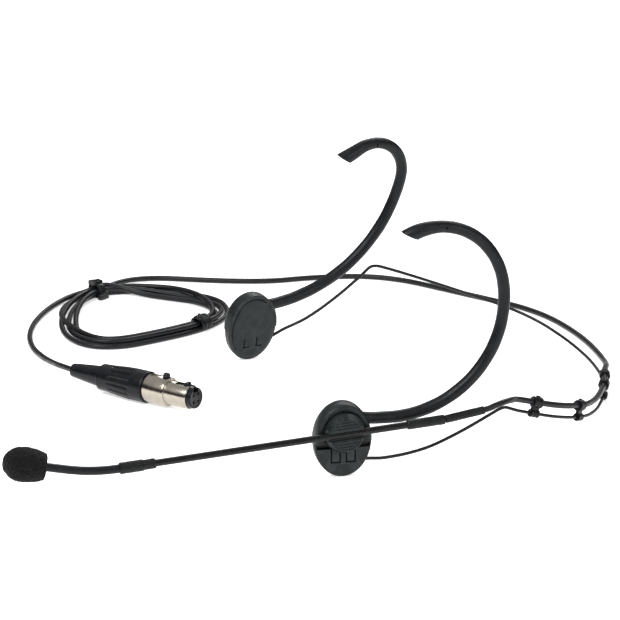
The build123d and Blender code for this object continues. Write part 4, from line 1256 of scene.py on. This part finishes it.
def connector_grip():
    """The handle: swelling to its front, with long flutes pressed into its middle."""
    inner = 3.9
    front, back = 31.55, 12.45
    steps, rows = 192, 64
    rings = []

    def skin(z):
        swell = min(max((z - back) / 13.5, 0), 1)
        return 4.6 + 0.9 * (swell * swell * (3 - 2 * swell))

    def flute(z, angle):
        flutes = 14
        across = math.cos(flutes * angle)
        shape = max(0.0, across) ** 1.5
        ends = min((z - 17.2) / 1.5, (26.8 - z) / 1.5, 1)
        return -0.42 * shape * max(0.0, ends) ** 0.5 if ends > 0 else 0.0

    rings.append(circle(3.75, steps, back + 0.02))
    rings.append(circle(4.25, steps, back))
    for i in range(rows + 1):
        z = back + (front - back) * i / rows
        edge = min((z - back) / 0.45, (front - z) / 0.3, 1)
        rounding = 0.35 * (1 - math.sqrt(max(0, 1 - (1 - edge) ** 2)))
        angles = [math.tau * k / steps for k in range(steps)]
        rings.append([around(skin(z) - rounding + flute(z, a), a, z) for a in angles])
    rings.append(circle(4.9, steps, front + 0.01))
    rings.append(circle(inner + 0.4, steps, front))
    rings.append(circle(inner + 0.4, steps, 14.2))
    rings.append(circle(3.75, steps, 14.2))
    bm = bmesh.new()
    ring_faces(bm, rings, closed_along=True)
    grip = to_object(bm, "fluted_grip")
    placed(grip, ALONG, smooth=50)
    return piece(grip, "connector_plastic", "neckband", "connector_grip")


def connector_shell():
    """The plated ring and nose, with the latch's slot and a window for its button."""
    profile = [
        (3.75, 31.7),
        (4.7, 31.7),
        (4.95, 31.8),
        (5.05, 32.05),
        (5.05, 39.6),
        (4.95, 39.95),
        (4.7, 40.2),
        (4.32, 40.22),
        (4.22, 40.35),
        (4.2, 40.6),
        (4.2, 48.1),
        (4.1, 48.42),
        (3.9, 48.6),
        (3.75, 48.5),
        (3.72, 48.2),
    ]
    shell = to_object(lathe(profile, 96), "plated_shell")
    window = bar((0, 3.0, BUTTON_AT), (0, 7.0, BUTTON_AT), 1.45, 40)
    slot = block((-LATCH_SLOT_HALF, 2.6, 42.8), (LATCH_SLOT_HALF, 7.0, 50.0))
    mark = bar((2.2, 4.2, 44.6), (2.6, 4.9, 44.6), 0.3, 16)
    combined(shell, [window, slot, mark])
    return finished(shell, 0.08, ALONG, 30, "nickel_plating", "neckband", "connector_shell")


def connector_insert():
    """The black insert: a stepped face with four socket holes round a keyed middle."""
    profile = [(0, 36.2), (3.66, 36.2), (3.66, 50.1), (3.5, 50.35), (3.25, 50.4)]
    profile += [(3.1, 50.2), (0, 50.2)]
    insert = to_object(lathe(profile, 72), "contact_insert")
    holes = []
    for i in range(4):
        angle = math.pi / 4 + math.pi / 2 * i
        x, y = 1.75 * math.cos(angle), 1.75 * math.sin(angle)
        holes.append(bar((x, y, 37.0), (x, y, 52.0), 0.56, 24))
        holes.append(lathe_at([(0, 49.9), (0.45, 49.9), (0.85, 50.5), (0, 50.5)], x, y))
    groove = block((-LATCH_SLOT_HALF, 1.95, 36.0), (LATCH_SLOT_HALF, 5.0, 52.0))
    key = block((-0.3, -4.2, 47.5), (0.3, -3.2, 52.0))
    combined(insert, holes + [groove, key])
    return finished(insert, 0.06, ALONG, 30, "connector_plastic", "neckband", "connector_insert")


def lathe_at(profile, x, y, steps=24):
    bm = lathe(profile, steps)
    bmesh.ops.translate(bm, verts=bm.verts, vec=(x, y, 0))
    return bm


def latch_lever():
    """The latch: a thin arm, a domed button over the ring and a hooked tab at the nose."""
    outline = [
        (34.9, 2.8),
        (34.9, 3.3),
        (35.6, 3.5),
        (45.2, 3.55),
        (46.0, 4.3),
        (46.5, 4.95),
        (47.5, 4.95),
        (47.7, 4.6),
        (47.7, 3.75),
        (49.3, 3.6),
        (49.3, 3.05),
    ]
    half = 1.05
    rings = [[Vector((x, y, z)) for z, y in outline] for x in (-half, half)]
    lever = to_object(capped_rings(rings), "latch_arm")
    profile = [(0, 3.2), (1.05, 3.2), (1.1, 5.2), (1.2, 5.45), (1.16, 6.0)]
    profile += [(0.95, 6.4), (0.6, 6.62), (0, 6.7)]
    button = lathe(profile, 40)
    turn = Matrix.Rotation(math.radians(-90), 4, "X")
    bmesh.ops.transform(button, verts=button.verts, matrix=Matrix.Translation((0, 0, BUTTON_AT)) @ turn)
    combined(lever, [button], "UNION")
    pin_hole = bar((-3, 3.2, LATCH_PIN_AT), (3, 3.2, LATCH_PIN_AT), 0.28, 20)
    combined(lever, [pin_hole])
    return finished(lever, 0.08, ALONG, 35, "connector_plastic", "latch", "latch_lever")


# ------------------------------------------------------------- camera, light and floor


AIM = Vector((0, 0, 0.03))


def make_camera():
    """The photograph's viewpoint: a long lens, from the boom's side and a little above."""
    azimuth, elevation, distance = math.radians(75.9), math.radians(16.6), 1.315
    target = Vector((0.0, 0.004, 0.0366))
    level = math.cos(elevation)
    back = Vector((math.sin(azimuth) * level, -math.cos(azimuth) * level, math.sin(elevation)))
    data = bpy.data.cameras.new("camera")
    data.lens, data.sensor_width = 227.3, 36.0
    data.clip_start, data.clip_end = 0.05, 20
    camera = bpy.data.objects.new("camera", data)
    bpy.context.scene.collection.objects.link(camera)
    camera.location = target + back * distance
    camera.rotation_mode = "QUATERNION"
    camera.rotation_quaternion = (-back).to_track_quat("-Z", "Y")
    bpy.context.scene.camera = camera


def area_light(name, place, size, power):
    """A soft rectangular lamp aimed at the headset."""
    data = bpy.data.lights.new(name, "AREA")
    data.shape, data.size, data.size_y = "RECTANGLE", size[0], size[1]
    data.energy = power
    lamp = bpy.data.objects.new(name, data)
    bpy.context.scene.collection.objects.link(lamp)
    lamp.location = place
    lamp.rotation_mode = "QUATERNION"
    lamp.rotation_quaternion = (AIM - Vector(place)).to_track_quat("-Z", "Y")


def make_studio():
    """A pale floor under a bright sky with a dim warm band low down, and three large lamps."""
    world = bpy.data.worlds.new("studio")
    bpy.context.scene.world = world
    world.use_nodes = True
    nodes, links = world.node_tree.nodes, world.node_tree.links
    background = nodes["Background"]
    height = nodes.new("ShaderNodeSeparateXYZ")
    links.new(nodes.new("ShaderNodeTexCoord").outputs["Generated"], height.inputs["Vector"])
    sky = nodes.new("ShaderNodeValToRGB")
    links.new(height.outputs["Z"], sky.inputs["Fac"])
    sky.color_ramp.elements[0].position = 0.02
    sky.color_ramp.elements[0].color = (0.16, 0.13, 0.10, 1)
    sky.color_ramp.elements[1].position = 0.62
    sky.color_ramp.elements[1].color = (1, 1, 1, 1)
    dim_band = ((0.20, (0.05, 0.045, 0.04)), (0.34, (0.10, 0.10, 0.10)), (0.46, (0.9, 0.9, 0.9)))
    for place, tone in dim_band:
        stop = sky.color_ramp.elements.new(place)
        stop.color = (*tone, 1)
    links.new(sky.outputs["Color"], background.inputs["Color"])
    background.inputs["Strength"].default_value = 0.55
    bm = bmesh.new()
    bmesh.ops.create_grid(bm, x_segments=1, y_segments=1, size=6.0)
    floor = to_object(bm, "floor")
    material, nodes, links, shader = node_material("pale_floor")
    shader.inputs["Base Color"].default_value = (0.93, 0.93, 0.93, 1)
    shader.inputs["Roughness"].default_value = 0.9
    shader.inputs["Specular IOR Level"].default_value = 0.1
    shader.inputs["Emission Color"].default_value = (1, 1, 1, 1)
    shader.inputs["Emission Strength"].default_value = 0.55
    floor.data.materials.append(material)
    area_light("key", (0.55, -0.75, 1.1), (0.9, 0.6), 16)
    area_light("back", (-0.9, 0.5, 0.9), (0.8, 0.6), 7)
    area_light("side", (1.1, 0.7, 0.5), (0.5, 0.5), 4)
    bpy.context.scene.view_settings.view_transform = "Standard"


# -------------------------------------------------------------------------- the object

make_camera()
make_studio()
paint_cad_nodes()
cable = free_cable()
clipped_cable()
boom_lead()
for index, run in enumerate(CLIP_RUNS, start=1):
    cable_clip(index, run)
clip_strap, twist = clip_tie(), twist_tie()
plug_makers = (connector_boot, connector_grip, connector_shell, connector_insert, latch_lever)
connector = [make() for make in plug_makers]
knob("near", 4.2)
knob("far", 0.0)
for pad_side in SIDES:
    upper_shell(pad_side)
    lower_clamp(pad_side)
    inner_plate(pad_side)
    hook_sleeve(pad_side)
make_sleeves()
gooseneck()
windscreen()
